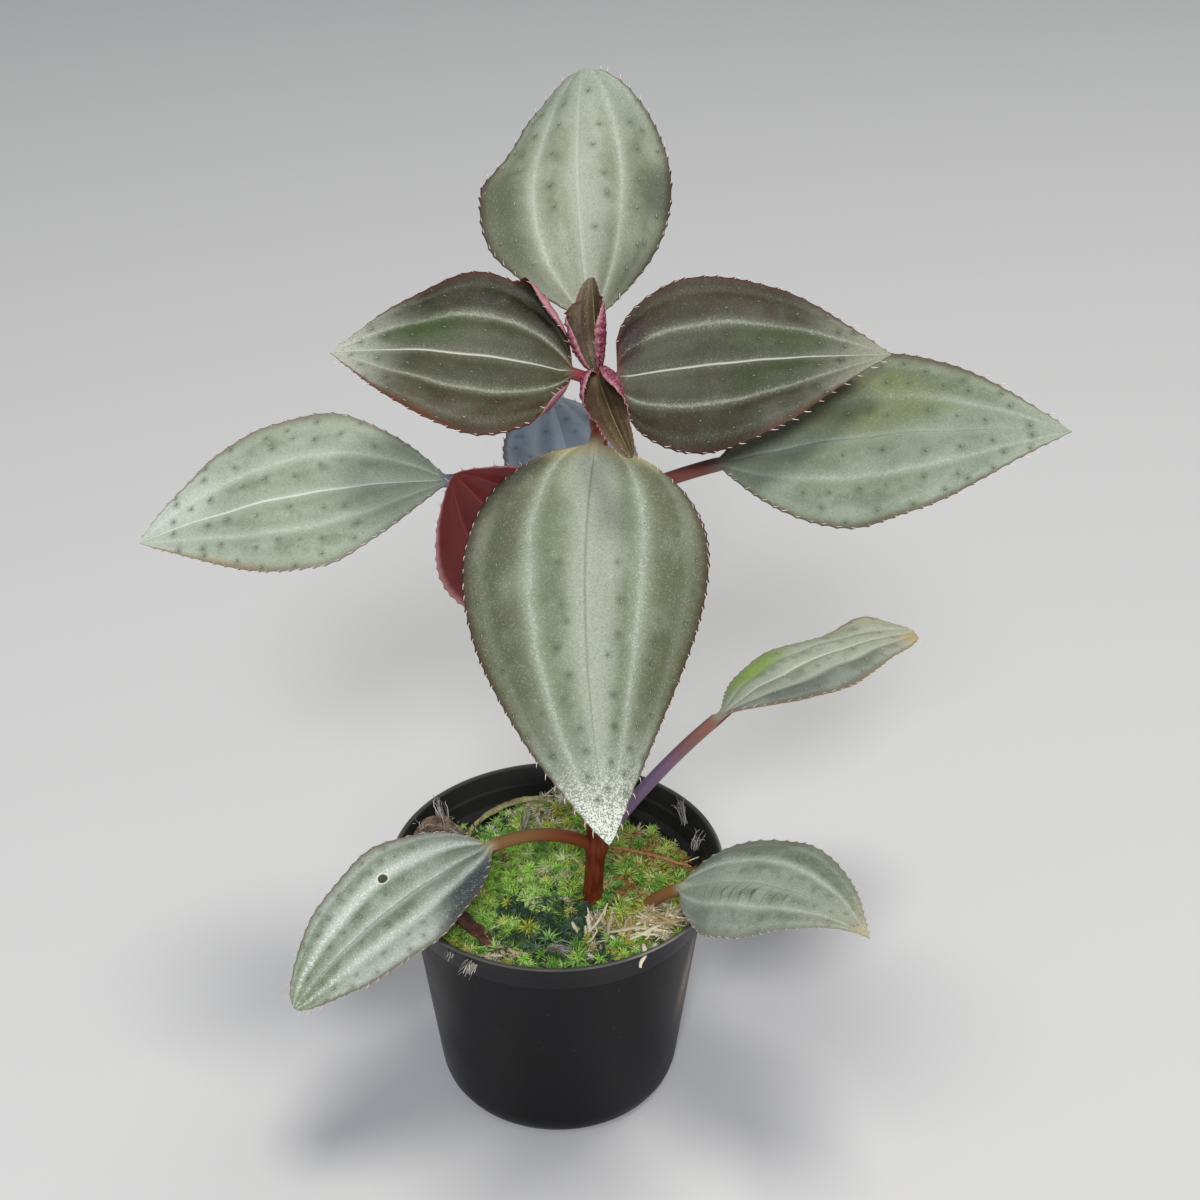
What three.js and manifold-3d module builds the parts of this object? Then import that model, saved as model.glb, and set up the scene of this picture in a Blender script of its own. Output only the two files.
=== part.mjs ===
import * as THREE from 'three';
import { ParametricGeometry } from 'three/addons/geometries/ParametricGeometry.js';
import { mergeVertices } from 'three/addons/utils/BufferGeometryUtils.js';
import Module from 'manifold-3d';

// A young silver-leaved foliage plant in a small round nursery pot of moss.
// Millimetres, +Z up, origin at the centre of the pot's underside, +Y to the back of the plant.

const wasm = await Module();
wasm.setup();

// Round nursery pot
const potHeight = 54;
const rimRadius = 35;
const footRadius = 23.4;
const potWall = 1.0;
const collarHeight = 7;
const floorRise = 1.4;
const drainHoles = 6;
const drainRadius = 2.4;
const drainRing = 14;

// Moss that fills the pot
const mossLevel = 48;
const mossSlope = 0.085;
const mossLump = 0.7;
const mossRows = 8;
const potSides = 40;

// Clearance between pieces that touch
const seat = 0.3;

// Stem
const stemFoot = new THREE.Vector3(6.8, -5, 38);
const stemKnee = new THREE.Vector3(8.2, -5, 61);
const stemTop = new THREE.Vector3(9, -5, 168);
const stemRadiusLow = 2.1;
const stemRadiusHigh = 1.45;
const stemNodes = [61, 114, 140, 158, 165];
const nodeSwelling = 0.5;
const stemSides = 10;

// Leaf section
const bladeThickness = 0.8;
const edgeThickness = 0.62;
const ribHeight = 0.5;
const pleat = 0.45;
const tooth = 0.17;
const tipHalfWidth = 0.4;
const stations = 22;
const nerveAt = 0.45;
const pleats = [-1, -0.72, -nerveAt, -0.22, 0, 0.22, nerveAt, 0.72, 1];

// Each leaf: node is the height where its stalk leaves the stem, turn its heading (0 to +X,
// 90 to the back), swing the change of heading along the stalk and the blade, rise its slope at
// the stem, the blade's base and the tip, roll its lean at the base and the tip, fold the lift of
// both halves, widest where it is broadest, full how blunt the base and the tip are, and edge how
// far the margins curve down. Wave is the depth, count and phase of the ripple along the margins,
// and curl the place and height of a turned-up stretch of the left margin. Angles are in degrees,
// lengths in millimetres.
const leaves = [
  {
    name: 'leaf_upper_right', node: 165, turn: -1, swing: [-1.5, -10], stalk: 3.5, rise: [30, 12, 5],
    length: 48.5, width: 34, roll: [-50, -26], fold: 7, widest: 0.35, full: [0.51, 0.95], edge: 1.5,
    wave: [0.35, 2.5, 20], stalkRadius: 1.1, color: '#5b6150',
  },
  {
    name: 'leaf_upper_left', node: 165, turn: 185, swing: [4, -19], stalk: 5.6, rise: [31, 20, -10],
    length: 43.7, width: 36, roll: [36.5, 14.5], fold: 7, widest: 0.41, full: [0.84, 0.95], edge: 1.2,
    wave: [0.35, 2.5, 80], stalkRadius: 1.1, color: '#5b6150',
  },
  {
    name: 'leaf_top_back', node: 158, turn: 98, swing: [4.5, -20], stalk: 18.5, rise: [62, 52, 35],
    length: 51, width: 36, roll: [-25, 21], fold: -9.5, widest: 0.48, full: [0.72, 0.5], edge: 2.9,
    wave: [0.6, 3, 140], stalkRadius: 1.2, color: '#93a28c',
  },
  {
    name: 'leaf_front', node: 154, turn: 271, swing: [-9.5, 22.5], stalk: 11, rise: [66, -27, -46],
    length: 73.5, width: 43, roll: [0, 3], fold: -6, widest: 0.29, full: [0.63, 0.87], edge: 3.8,
    wave: [0.35, 3.5, 0], stalkRadius: 1.3, color: '#8f9f88',
  },
  {
    name: 'leaf_middle_left', node: 140, turn: 175.7, swing: [0, 9], stalk: 28, rise: [20.5, -2, -23],
    length: 61, width: 34, roll: [28, 34], fold: 8, widest: 0.45, full: [1.19, 0.95], edge: 1.6,
    wave: [0.35, 3, 60], stalkRadius: 1.3, color: '#93a38d',
  },
  {
    name: 'leaf_middle_right', node: 140, turn: -5, swing: [-7, -7.5], stalk: 24, rise: [30.5, 21.5, 5.5],
    length: 63.6, width: 36.5, roll: [-27.5, -36], fold: 4, widest: 0.42, full: [0.95, 1.03], edge: 1.6,
    wave: [0.35, 3, 200], stalkRadius: 1.3, color: '#8c9a84',
  },
  {
    name: 'leaf_underside_red', node: 114, turn: 215, swing: [-14, -6], stalk: 7.5, rise: [66.5, 53, 53],
    length: 39, width: 33, roll: [-80, -89], fold: 0.5, widest: 0.48, full: [0.69, 0.79], edge: 0.8,
    wave: [0.3, 2.5, 0], stalkRadius: 1.2, color: '#5a2526',
  },
  {
    name: 'leaf_shaded_back', node: 114, turn: 99, swing: [0, 4], stalk: 16, rise: [45, 30, 5],
    length: 46, width: 27, roll: [0, 0], fold: 8, widest: 0.5, full: [0.9, 0.9], edge: 0.8,
    wave: [0.3, 2.5, 90], stalkRadius: 1.2, color: '#8d9aa0',
  },
  {
    name: 'leaf_high_right', node: 61, turn: 37.5, swing: [6, -21], stalk: 37.5, rise: [41, 13, -6],
    length: 55, width: 30.5, roll: [21, 9], fold: 4.5, widest: 0.43, full: [1.12, 0.51], edge: 2.8,
    wave: [0.4, 2, 250], curl: [0.84, 3.4], stalkRadius: 1.35, color: '#93a38d',
  },
  {
    name: 'leaf_low_left', node: 61, turn: 197, swing: [13, 8.5], stalk: 25, rise: [41.5, -7, -40.5],
    length: 50, width: 27, roll: [0.5, 21.5], fold: 10, widest: 0.38, full: [0.98, 0.67], edge: 1.1,
    wave: [0.35, 3, 30], stalkRadius: 1.35, color: '#8f9d88',
  },
  {
    name: 'leaf_low_right', start: [15.7, -7.6, 43], turn: -33, swing: [-0.5, -36], stalk: 19,
    rise: [67, 34.6, 10], length: 57.3, width: 26.3, roll: [-25, -10.3], fold: 6.9, widest: 0.35,
    full: [0.8, 1.16], edge: 3, wave: [0.4, 3, 120], stalkRadius: 1.3, color: '#8a9782',
  },
  {
    name: 'leaf_young_back', node: 166, turn: 101.5, swing: [-1, -3], stalk: 1.2, rise: [64, 57.5, 65],
    length: 17, width: 7.4, roll: [44, 27], fold: 40, widest: 0.5, full: [0.47, 0.5], edge: -0.4,
    wave: [0, 1, 0], stalkRadius: 0.6, color: '#8a3a48', stations: 9,
  },
  {
    name: 'leaf_young_front', node: 166, turn: 266, swing: [4.7, 23], stalk: 4.4, rise: [52, 11.5, -26],
    length: 27, width: 6.9, roll: [-18, -34.5], fold: 34, widest: 0.56, full: [0.48, 0.44], edge: 0.1,
    wave: [0, 1, 0], stalkRadius: 0.7, color: '#8a3a48', stations: 11,
  },
];

function radians(degrees) {
  return THREE.MathUtils.degToRad(degrees);
}

function smooth(x) {
  const k = THREE.MathUtils.clamp(x, 0, 1);
  return k * k * (3 - 2 * k);
}

function blend(a, b, k) {
  return a + (b - a) * k;
}

// Closed skin through rings of equal point counts whose first and last rings are single points.
// Points run over the top from left to right and back below, and the lower half is split into
// triangles like the upper, so both faces of a thin blade match.
function skin(rings) {
  const around = rings[0].length;
  const stacks = rings.length - 1;
  const place = (u, v, target) => {
    target.copy(rings[Math.round(v * stacks)][Math.round(u * around) % around]);
  };
  const geometry = new ParametricGeometry(place, around, stacks);
  const index = [];
  for (let i = 0; i < stacks; i += 1) {
    for (let j = 0; j < around; j += 1) {
      const a = i * (around + 1) + j;
      const d = a + around + 1;
      if (j < around / 2) {
        index.push(a, a + 1, d, a + 1, d + 1, d);
      } else {
        index.push(a, a + 1, d + 1, a, d + 1, d);
      }
    }
  }
  geometry.setIndex(index);
  return geometry;
}

function withEnds(rings) {
  const centre = (ring) => {
    const middle = new THREE.Vector3();
    ring.forEach((point) => middle.addScaledVector(point, 1 / ring.length));
    return ring.map(() => middle);
  };
  return [centre(rings[0]), ...rings, centre(rings[rings.length - 1])];
}

function solidOf(geometry) {
  const bare = new THREE.BufferGeometry();
  bare.setAttribute('position', geometry.getAttribute('position'));
  bare.setIndex(geometry.getIndex());
  const welded = mergeVertices(bare, 1e-4);
  const corners = welded.getIndex().array;
  const kept = [];
  for (let i = 0; i < corners.length; i += 3) {
    const face = [corners[i], corners[i + 1], corners[i + 2]];
    if (new Set(face).size === 3) {
      kept.push(...face);
    }
  }
  return new wasm.Manifold(new wasm.Mesh({
    numProp: 3,
    vertProperties: Float32Array.from(welded.getAttribute('position').array),
    triVerts: Uint32Array.from(kept),
  }));
}

function largest(solid) {
  const parts = solid.decompose();
  parts.sort((a, b) => b.volume() - a.volume());
  return parts[0];
}

function meshOf(solid, name, color, roughness) {
  const mesh = solid.getMesh();
  const geometry = new THREE.BufferGeometry();
  geometry.setAttribute('position', new THREE.BufferAttribute(Float32Array.from(mesh.vertProperties), 3));
  geometry.setIndex(new THREE.BufferAttribute(Uint32Array.from(mesh.triVerts), 1));
  geometry.computeVertexNormals();
  const material = new THREE.MeshStandardMaterial({ color, roughness, metalness: 0 });
  const result = new THREE.Mesh(geometry, material);
  result.name = name;
  return result;
}

function turned(points, segments) {
  const profile = points.map(([radius, height]) => new THREE.Vector2(radius, height));
  const geometry = new THREE.LatheGeometry(profile, segments);
  geometry.rotateX(Math.PI / 2);
  return geometry;
}

// Heading and slope to a unit direction, with the side to its right and the way up across it
function frameAt(heading, slope, lean) {
  const a = radians(heading);
  const e = radians(slope);
  const r = radians(lean);
  const ahead = new THREE.Vector3(Math.cos(a) * Math.cos(e), Math.sin(a) * Math.cos(e), Math.sin(e));
  const flatSide = new THREE.Vector3(Math.sin(a), -Math.cos(a), 0);
  const flatUp = new THREE.Vector3(-Math.cos(a) * Math.sin(e), -Math.sin(a) * Math.sin(e), Math.cos(e));
  const side = flatSide.clone().multiplyScalar(Math.cos(r)).addScaledVector(flatUp, Math.sin(r));
  const up = flatUp.clone().multiplyScalar(Math.cos(r)).addScaledVector(flatSide, -Math.sin(r));
  return { ahead, side, up };
}

function stemAt(height) {
  const [from, to] = height < stemKnee.z ? [stemFoot, stemKnee] : [stemKnee, stemTop];
  return new THREE.Vector3().lerpVectors(from, to, (height - from.z) / (to.z - from.z));
}

function stemSolid(grow) {
  const levels = [stemFoot.z, 46];
  let height = 53;
  while (height < stemTop.z - 1) {
    const near = stemNodes.find((node) => Math.abs(node - height) < 4);
    if (near) {
      levels.push(near - 2.4, near, near + 2.4);
      height = near + 10;
    } else {
      levels.push(height);
      height += 10;
    }
  }
  levels.push(stemTop.z);
  const rings = levels.filter((level, i) => i === 0 || level > levels[i - 1] + 0.5).map((level) => {
    const k = (level - stemFoot.z) / (stemTop.z - stemFoot.z);
    const swell = stemNodes.some((node) => Math.abs(node - level) < 0.1) ? nodeSwelling : 0;
    const tip = level === stemTop.z ? 0.55 : 1;
    const radius = (blend(stemRadiusLow, stemRadiusHigh, k) + swell) * tip + grow;
    const centre = stemAt(level);
    const ring = [];
    for (let j = 0; j < stemSides; j += 1) {
      const angle = (j / stemSides) * 2 * Math.PI;
      const out = new THREE.Vector3(Math.cos(angle), Math.sin(angle), 0);
      ring.push(centre.clone().addScaledVector(out, radius));
    }
    return ring;
  });
  rings[0].forEach((point) => point.setZ(point.z - grow));
  rings[rings.length - 1].forEach((point) => point.setZ(point.z + grow));
  return solidOf(skin(withEnds(rings)));
}

// Frames along a leaf's centre line: the stalk first, then the blade
function leafFrames(leaf) {
  const steps = 10;
  const stalkStations = Math.max(3, Math.ceil(leaf.stalk / 6));
  const bladeStations = leaf.stations ?? stations;
  const total = leaf.stalk + leaf.length;
  const at = (s) => {
    const k = Math.min(s / leaf.stalk, 1);
    const t = Math.max((s - leaf.stalk) / leaf.length, 0);
    const heading = leaf.turn + leaf.swing[0] * k + leaf.swing[1] * t;
    const slope = blend(leaf.rise[0], leaf.rise[1], k) + (leaf.rise[2] - leaf.rise[1]) * t;
    const lean = leaf.roll[0] * smooth(k) + (leaf.roll[1] - leaf.roll[0]) * t;
    return { t, s, ...frameAt(heading, slope, lean) };
  };
  const stops = [];
  for (let i = 0; i < stalkStations; i += 1) {
    stops.push((leaf.stalk * i) / stalkStations);
  }
  for (let i = 0; i <= bladeStations; i += 1) {
    stops.push(leaf.stalk + (leaf.length * i) / bladeStations);
  }
  const point = leaf.start ? new THREE.Vector3(...leaf.start) : stemAt(leaf.node);
  const frames = [];
  let before = 0;
  stops.forEach((stop) => {
    for (let i = 0; i < steps; i += 1) {
      const middle = at(before + ((stop - before) * (i + 0.5)) / steps);
      point.addScaledVector(middle.ahead, (stop - before) / steps);
    }
    before = stop;
    frames.push({ point: point.clone(), ...at(Math.min(stop, total)), onStalk: stop < leaf.stalk });
  });
  return frames;
}

function halfWidth(leaf, t) {
  const u = t ** (Math.log(0.5) / Math.log(leaf.widest));
  const fullness = blend(leaf.full[0], leaf.full[1], u);
  return (leaf.width / 2) * Math.max(Math.sin(Math.PI * u), 0) ** fullness;
}

// Height of the blade's mid surface above the plane of its frame: the fold, the curved margins,
// a ripple along them and the pleats between the nerves
function lift(leaf, t, v, w) {
  const spread = smooth(w / (leaf.width / 2));
  const [depth, count, phase] = leaf.wave;
  const ripple = depth * Math.sin(2 * Math.PI * count * t + radians(phase)) * v * Math.abs(v);
  const crest = pleat * Math.sin((Math.PI * v) / nerveAt) ** 2;
  const folded = w * Math.abs(v) * Math.sin(radians(leaf.fold));
  const [curlAt, curlHeight] = leaf.curl ?? [0.5, 0];
  const curl = v < 0 ? curlHeight * v * v * Math.exp(-(((t - curlAt) / 0.1) ** 2)) : 0;
  return folded + (ripple + crest - leaf.edge * v * v) * spread + curl;
}

// Section of a leaf at one station: round on the stalk, then the thin blade with the stalk running
// on below it as the midrib
function leafRing(leaf, frame, i, grow) {
  const t = frame.t;
  const w = frame.onStalk ? 0 : halfWidth(leaf, t);
  const radius = leaf.stalkRadius * (1 - t) + grow;
  const lean = Math.cos(radians(leaf.fold));
  const toothed = !leaf.stations && t > 0.04 && t < 0.97;
  const notch = toothed ? tooth * (i % 2 ? -1 : 1) : 0;
  const span = t > 0.5 ? Math.max(w, tipHalfWidth) : w;
  const spot = (v, face) => {
    const outer = Math.abs(v) === 1;
    const roundX = radius * Math.sin((v * Math.PI) / 2);
    const flatX = (span + (outer ? notch : 0)) * v * lean;
    const x = Math.abs(flatX) > Math.abs(roundX) ? flatX : roundX;
    const fade = face > 0 ? 1 - t / 0.08 : 1 - t / 0.5;
    const roundHalf = Math.sqrt(Math.max(radius * radius - x * x, 0)) * Math.max(fade, 0);
    const onNerve = Math.abs(v) === nerveAt ? 0.4 : Number(v === 0);
    const rib = face < 0 ? ribHeight * (1 - t) * onNerve : 0;
    const flatHalf = (outer ? edgeThickness : bladeThickness) / 2 / lean + rib;
    const half = Math.max(frame.onStalk ? edgeThickness / 2 : flatHalf, roundHalf);
    const y = (frame.onStalk ? 0 : lift(leaf, t, v, w)) + face * half;
    return frame.point.clone().addScaledVector(frame.side, x).addScaledVector(frame.up, y);
  };
  const over = pleats.map((v) => spot(v, 1));
  const under = pleats.map((v) => spot(v, -1)).reverse();
  return [...over, ...under];
}

function leafSolid(leaf, grow = 0) {
  const frames = leafFrames(leaf);
  frames[0].point.addScaledVector(frames[0].ahead, -grow);
  const rings = frames.map((frame, i) => leafRing(leaf, frame, i, grow));
  return solidOf(skin(withEnds(rings)));
}

// Outer and inner wall of the pot from the underside to the rim: radius, height
const potOuter = [
  [0, 0], [9.5, 0], [10.5, floorRise], [17.5, floorRise], [18.5, 0], [footRadius, 0],
  [25.3, 1.9], [26, 5], [29.6, 35], [31, potHeight - collarHeight - 1],
  [32.4, potHeight - collarHeight], [33.4, potHeight - 3.5], [rimRadius, potHeight],
];
const potInner = [
  [rimRadius - potWall, potHeight], [32.7, potHeight - 3.5], [32, potHeight - 3.8],
  [31.4, potHeight - collarHeight + 0.3], [30, potHeight - collarHeight - 0.8],
  [29.6 - potWall, 35], [26 - potWall, 5], [23.8, floorRise + potWall], [0, floorRise + potWall],
];

function potSolid() {
  let pot = solidOf(turned([...potOuter, ...potInner], potSides));
  for (let i = 0; i < drainHoles; i += 1) {
    const angle = ((i + 0.5) / drainHoles) * 2 * Math.PI;
    const drill = new THREE.CylinderGeometry(drainRadius, drainRadius, 8, 10);
    drill.rotateX(Math.PI / 2);
    drill.translate(drainRing * Math.cos(angle), drainRing * Math.sin(angle), floorRise);
    pot = pot.subtract(solidOf(drill));
  }
  return pot;
}

// Moss stands highest at the front rim and in a hump against the back wall
function mossHeight(x, y) {
  const hump = 4 * Math.exp(-((x + 1) ** 2 + (y - 27) ** 2) / 70);
  const broad = Math.sin(0.42 * x + 1.1) * Math.sin(0.5 * y + 0.4);
  const fine = 0.6 * Math.sin(0.9 * x - 0.6 * y + 2);
  return mossLevel - mossSlope * y + hump + mossLump * (broad + fine);
}

function mossSolid(holes) {
  const reach = rimRadius + 6;
  const rows = [];
  for (let i = 0; i <= mossRows; i += 1) {
    rows.push([reach * (1 - i / mossRows), mossLevel]);
  }
  const mound = turned([[0, -5], [reach, -5], ...rows], potSides);
  const position = mound.getAttribute('position');
  for (let i = 0; i < position.count; i += 1) {
    if (position.getZ(i) > mossLevel - 1) {
      position.setZ(i, mossHeight(position.getX(i), position.getY(i)));
    }
  }
  const inside = potInner.slice().reverse().map(([radius, height]) => {
    const facesUp = height < 4 || (height > 40 && height < potHeight);
    return [Math.max(radius - seat, 0), height + (facesUp ? seat : 0)];
  });
  let moss = solidOf(mound).intersect(solidOf(turned([...inside, [0, potHeight]], potSides)));
  holes.forEach((hole) => {
    moss = moss.subtract(hole);
  });
  return largest(moss);
}

// Dry bits of stalk and leaf that lie on the moss with their ends sunk in it: the points they run
// through, half their width and thickness from end to end, and the number of stations
const dryBits = [
  {
    name: 'dry_stalk', color: '#9c7a4c', stations: 9, halfWidth: [0.45, 0.5, 0.35],
    halfThickness: 0.4,
    path: [[10.8, 10.6, 45.2], [12.8, 9.6, 48.9], [20.5, 6.5, 49.6], [27, 4.1, 49.1], [28.4, 3.6, 46.2]],
  },
  {
    name: 'dry_strand_back', color: '#8d8862', stations: 10, halfWidth: [0.5, 0.95, 0.6],
    halfThickness: 0.4,
    path: [[-20.4, 18.2, 43], [-19, 19.8, 47.2], [-12.5, 23.4, 50.2], [-5, 25, 51.2], [-1.2, 25.2, 48]],
  },
  {
    name: 'dead_leaf_curled', color: '#6f5a48', stations: 12, halfWidth: [2.2, 3.6, 1.6],
    halfThickness: 0.36,
    path: [[-18, 12.2, 44.5], [-20.6, 12.6, 49.6], [-25, 12.4, 53.2], [-28.4, 10.2, 53], [-27.2, 8.8, 46]],
  },
  {
    name: 'leaf_stub_dry', color: '#6d4f47', stations: 8, halfWidth: [2.3, 1.7, 0.8],
    halfThickness: 0.5,
    path: [[-21.8, -12, 47], [-20.2, -14, 50.3], [-16, -19.4, 51], [-12.6, -24, 51.4], [-11.8, -25.2, 48]],
  },
];

// Flat-lying strip with blunt ends; grow adds to it all round
function strip(bit, grow = 0) {
  const curve = new THREE.CatmullRomCurve3(bit.path.map((point) => new THREE.Vector3(...point)));
  const sides = 8;
  const rings = [];
  for (let i = 0; i <= bit.stations; i += 1) {
    const k = i / bit.stations;
    const centre = curve.getPointAt(k);
    const ahead = curve.getTangentAt(k);
    const level = new THREE.Vector3(ahead.y, -ahead.x, 0).normalize();
    const up = level.clone().cross(ahead);
    const [first, middle, last] = bit.halfWidth;
    const half = k < 0.5 ? blend(first, middle, smooth(2 * k)) : blend(middle, last, smooth(2 * k - 1));
    const end = i === 0 ? -grow : i === bit.stations ? grow : 0;
    const ring = [];
    for (let j = 0; j < sides; j += 1) {
      const angle = Math.PI - ((j + 0.5) / sides) * 2 * Math.PI;
      const point = centre.clone().addScaledVector(level, (half + grow) * Math.cos(angle));
      point.addScaledVector(up, (bit.halfThickness + grow) * Math.sin(angle));
      ring.push(point.addScaledVector(ahead, end));
    }
    rings.push(ring);
  }
  return solidOf(skin(withEnds(rings)));
}

const model = new THREE.Group();
const stem = stemSolid(0);
const stemGap = stemSolid(seat);

leaves.forEach((leaf) => {
  const solid = leafSolid(leaf);
  const cut = leaf.node ? largest(solid.subtract(stemGap)) : solid;
  model.add(meshOf(cut, leaf.name, leaf.color, 0.45));
});
const lowRight = leaves.find((leaf) => leaf.name === 'leaf_low_right');
const bits = dryBits.map((bit) => meshOf(strip(bit), bit.name, bit.color, 0.8));
model.add(...bits);
const sunk = dryBits.map((bit) => strip(bit, seat + 0.15));
const moss = mossSolid([stemGap, leafSolid(lowRight, seat), ...sunk]);
model.add(meshOf(stem, 'stem', '#7a3520', 0.5));
model.add(meshOf(moss, 'moss', '#5f8a2e', 0.95));
model.add(meshOf(potSolid(), 'pot', '#242021', 0.35));

export default model;
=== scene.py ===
import math
import random

import bmesh
import bpy
from mathutils import Matrix, Vector, noise
from mathutils.kdtree import KDTree


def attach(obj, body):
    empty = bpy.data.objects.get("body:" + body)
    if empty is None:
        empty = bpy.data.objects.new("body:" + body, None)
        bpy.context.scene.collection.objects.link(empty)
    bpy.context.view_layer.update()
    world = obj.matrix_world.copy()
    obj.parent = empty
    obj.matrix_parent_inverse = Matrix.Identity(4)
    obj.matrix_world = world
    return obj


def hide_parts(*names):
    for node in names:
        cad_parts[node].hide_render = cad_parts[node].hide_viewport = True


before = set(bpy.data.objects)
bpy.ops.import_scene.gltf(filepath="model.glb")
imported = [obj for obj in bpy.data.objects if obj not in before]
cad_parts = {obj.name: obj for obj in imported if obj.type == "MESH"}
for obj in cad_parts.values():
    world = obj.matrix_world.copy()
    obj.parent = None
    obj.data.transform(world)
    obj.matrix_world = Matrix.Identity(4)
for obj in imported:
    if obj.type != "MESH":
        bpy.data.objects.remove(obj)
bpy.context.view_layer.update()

# A young silver-leaved foliage plant in a small round nursery pot of living moss.
# Shapes are worked out in millimetres and stored in metres, +Z up, +Y to the back of the plant.

mm = 0.001
body = "root"


def ease(x):
    x = min(max(x, 0.0), 1.0)
    return x * x * (3.0 - 2.0 * x)


def lerp(a, b, k):
    return a + (b - a) * k


def bell(x):
    return math.exp(-x * x)


def linearColour(code):  # sRGB hex to the linear colour that a shader takes
    parts = [int(code[i:i + 2], 16) / 255 for i in (1, 3, 5)]
    return [c / 12.92 if c <= 0.04045 else ((c + 0.055) / 1.055) ** 2.4 for c in parts] + [1.0]


def perMetre(size):  # scale of a texture whose pattern repeats at this size in millimetres
    return 1.0 / (size * mm)


def addNode(tree, kind, inputs=None, **settings):
    node = tree.nodes.new(kind)
    for name, value in settings.items():
        setattr(node, name, value)
    for name, value in (inputs or {}).items():
        socket = node.inputs[name] if isinstance(name, int) else next(
            s for s in node.inputs if s.name == name and s.enabled)
        if isinstance(value, bpy.types.Node):
            value = next(s for s in value.outputs if s.enabled)
        if isinstance(value, bpy.types.NodeSocket):
            tree.links.new(value, socket)
        else:
            socket.default_value = value
    return node


def startMaterial(name, **settings):
    material = bpy.data.materials.new(name)
    material.use_nodes = True
    tree = material.node_tree
    shader = tree.nodes["Principled BSDF"]
    for socket, value in settings.items():
        shader.inputs[socket.replace("_", " ")].default_value = value
    return material, tree, shader


def stripe(tree, value, centre, reach):  # 1 where value is at centre, falling to 0 at reach from it
    away = addNode(tree, "ShaderNodeMath", {0: value, 1: centre}, operation="SUBTRACT")
    gap = addNode(tree, "ShaderNodeMath", {0: away}, operation="ABSOLUTE")
    return addNode(tree, "ShaderNodeMapRange", {
        "Value": gap, "From Min": 0.0, "From Max": reach, "To Min": 1.0, "To Max": 0.0,
    }, interpolation_type="SMOOTHSTEP")


def ramp(tree, value, start, end, low=0.0, high=1.0):  # smooth rise from low at start to high at end
    return addNode(tree, "ShaderNodeMapRange", {
        "Value": value, "From Min": start, "From Max": end, "To Min": low, "To Max": high,
    }, interpolation_type="SMOOTHSTEP")


def tint(tree, colour, share, over):  # lays a colour over another, each a socket or an sRGB code
    colour, over = (linearColour(c) if isinstance(c, str) else c for c in (colour, over))
    return addNode(tree, "ShaderNodeMix", {
        "Factor": share, "A": colour, "B": over}, data_type="RGBA").outputs[2]


def compute(tree, operation, *values):
    return addNode(tree, "ShaderNodeMath", dict(enumerate(values)), operation=operation)


def times(tree, *factors):
    product = factors[0]
    for factor in factors[1:]:
        product = compute(tree, "MULTIPLY", product, factor)
    return product


def most(tree, a, b):
    return compute(tree, "MAXIMUM", a, b)


def objectPlace(tree):
    return addNode(tree, "ShaderNodeTexCoord").outputs["Object"]


def mottle(tree, place, size, detail):  # even noise with blotches of this size in millimetres
    return addNode(tree, "ShaderNodeTexNoise", {
        "Vector": place, "Scale": perMetre(size), "Detail": detail})


def meshValue(tree, name):  # a number kept on the mesh's points
    return addNode(tree, "ShaderNodeAttribute", attribute_name=name).outputs["Fac"]


def dress(tree, shader, colour, relief=None, strength=0.0, depth=0.0):
    # Links the skin's colour and a relief of this depth in millimetres
    tree.links.new(colour, shader.inputs["Base Color"])
    if relief:
        bump = addNode(tree, "ShaderNodeBump", {
            "Strength": strength, "Distance": depth * mm, "Height": relief})
        tree.links.new(bump.outputs["Normal"], shader.inputs["Normal"])


def finishPiece(bm, name, materials, slot, *nodes):
    mesh = bpy.data.meshes.new(name)
    bm.to_mesh(mesh)
    bm.free()
    for material in materials:
        mesh.materials.append(material)
    mesh.shade_smooth()
    piece = bpy.data.objects.new(name, mesh)
    bpy.context.scene.collection.objects.link(piece)
    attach(piece, body)
    if nodes:
        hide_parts(*nodes)
    return piece


# Camera, floor and lights
view = {
    "cameraAt": (0.009, -0.332, 0.315), "pitch": 59.2, "lens": 60, "sensor": 36,
    "floorSize": 3.0, "floorColour": "#d9d8d4",
    "keyAt": (0.10, -0.25, 1.55), "keySize": 0.5, "keyPower": 11.5,
    "fillAt": (-0.03, -1.2, 1.12), "fillSize": 0.36, "fillPower": 14.0,
    "rimAt": (0.75, 0.65, 0.90), "rimSize": 0.5, "rimPower": 2.0,
    "aim": (0.0, 0.0, 0.11), "sky": "#dce3f2", "skyStrength": 0.26,
    "keyColour": "#fffdf6", "fillColour": "#f2f4ff", "rimColour": "#ffffff",
}


def addLight(name):
    light = bpy.data.lights.new(name, "AREA")
    light.shape = "DISK"
    light.size = view[name + "Size"]
    light.energy = view[name + "Power"]
    light.color = linearColour(view[name + "Colour"])[:3]
    lamp = bpy.data.objects.new(name, light)
    lamp.location = view[name + "At"]
    lamp.rotation_euler = (Vector(view["aim"]) - lamp.location).to_track_quat("-Z", "Y").to_euler()
    bpy.context.scene.collection.objects.link(lamp)


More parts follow.
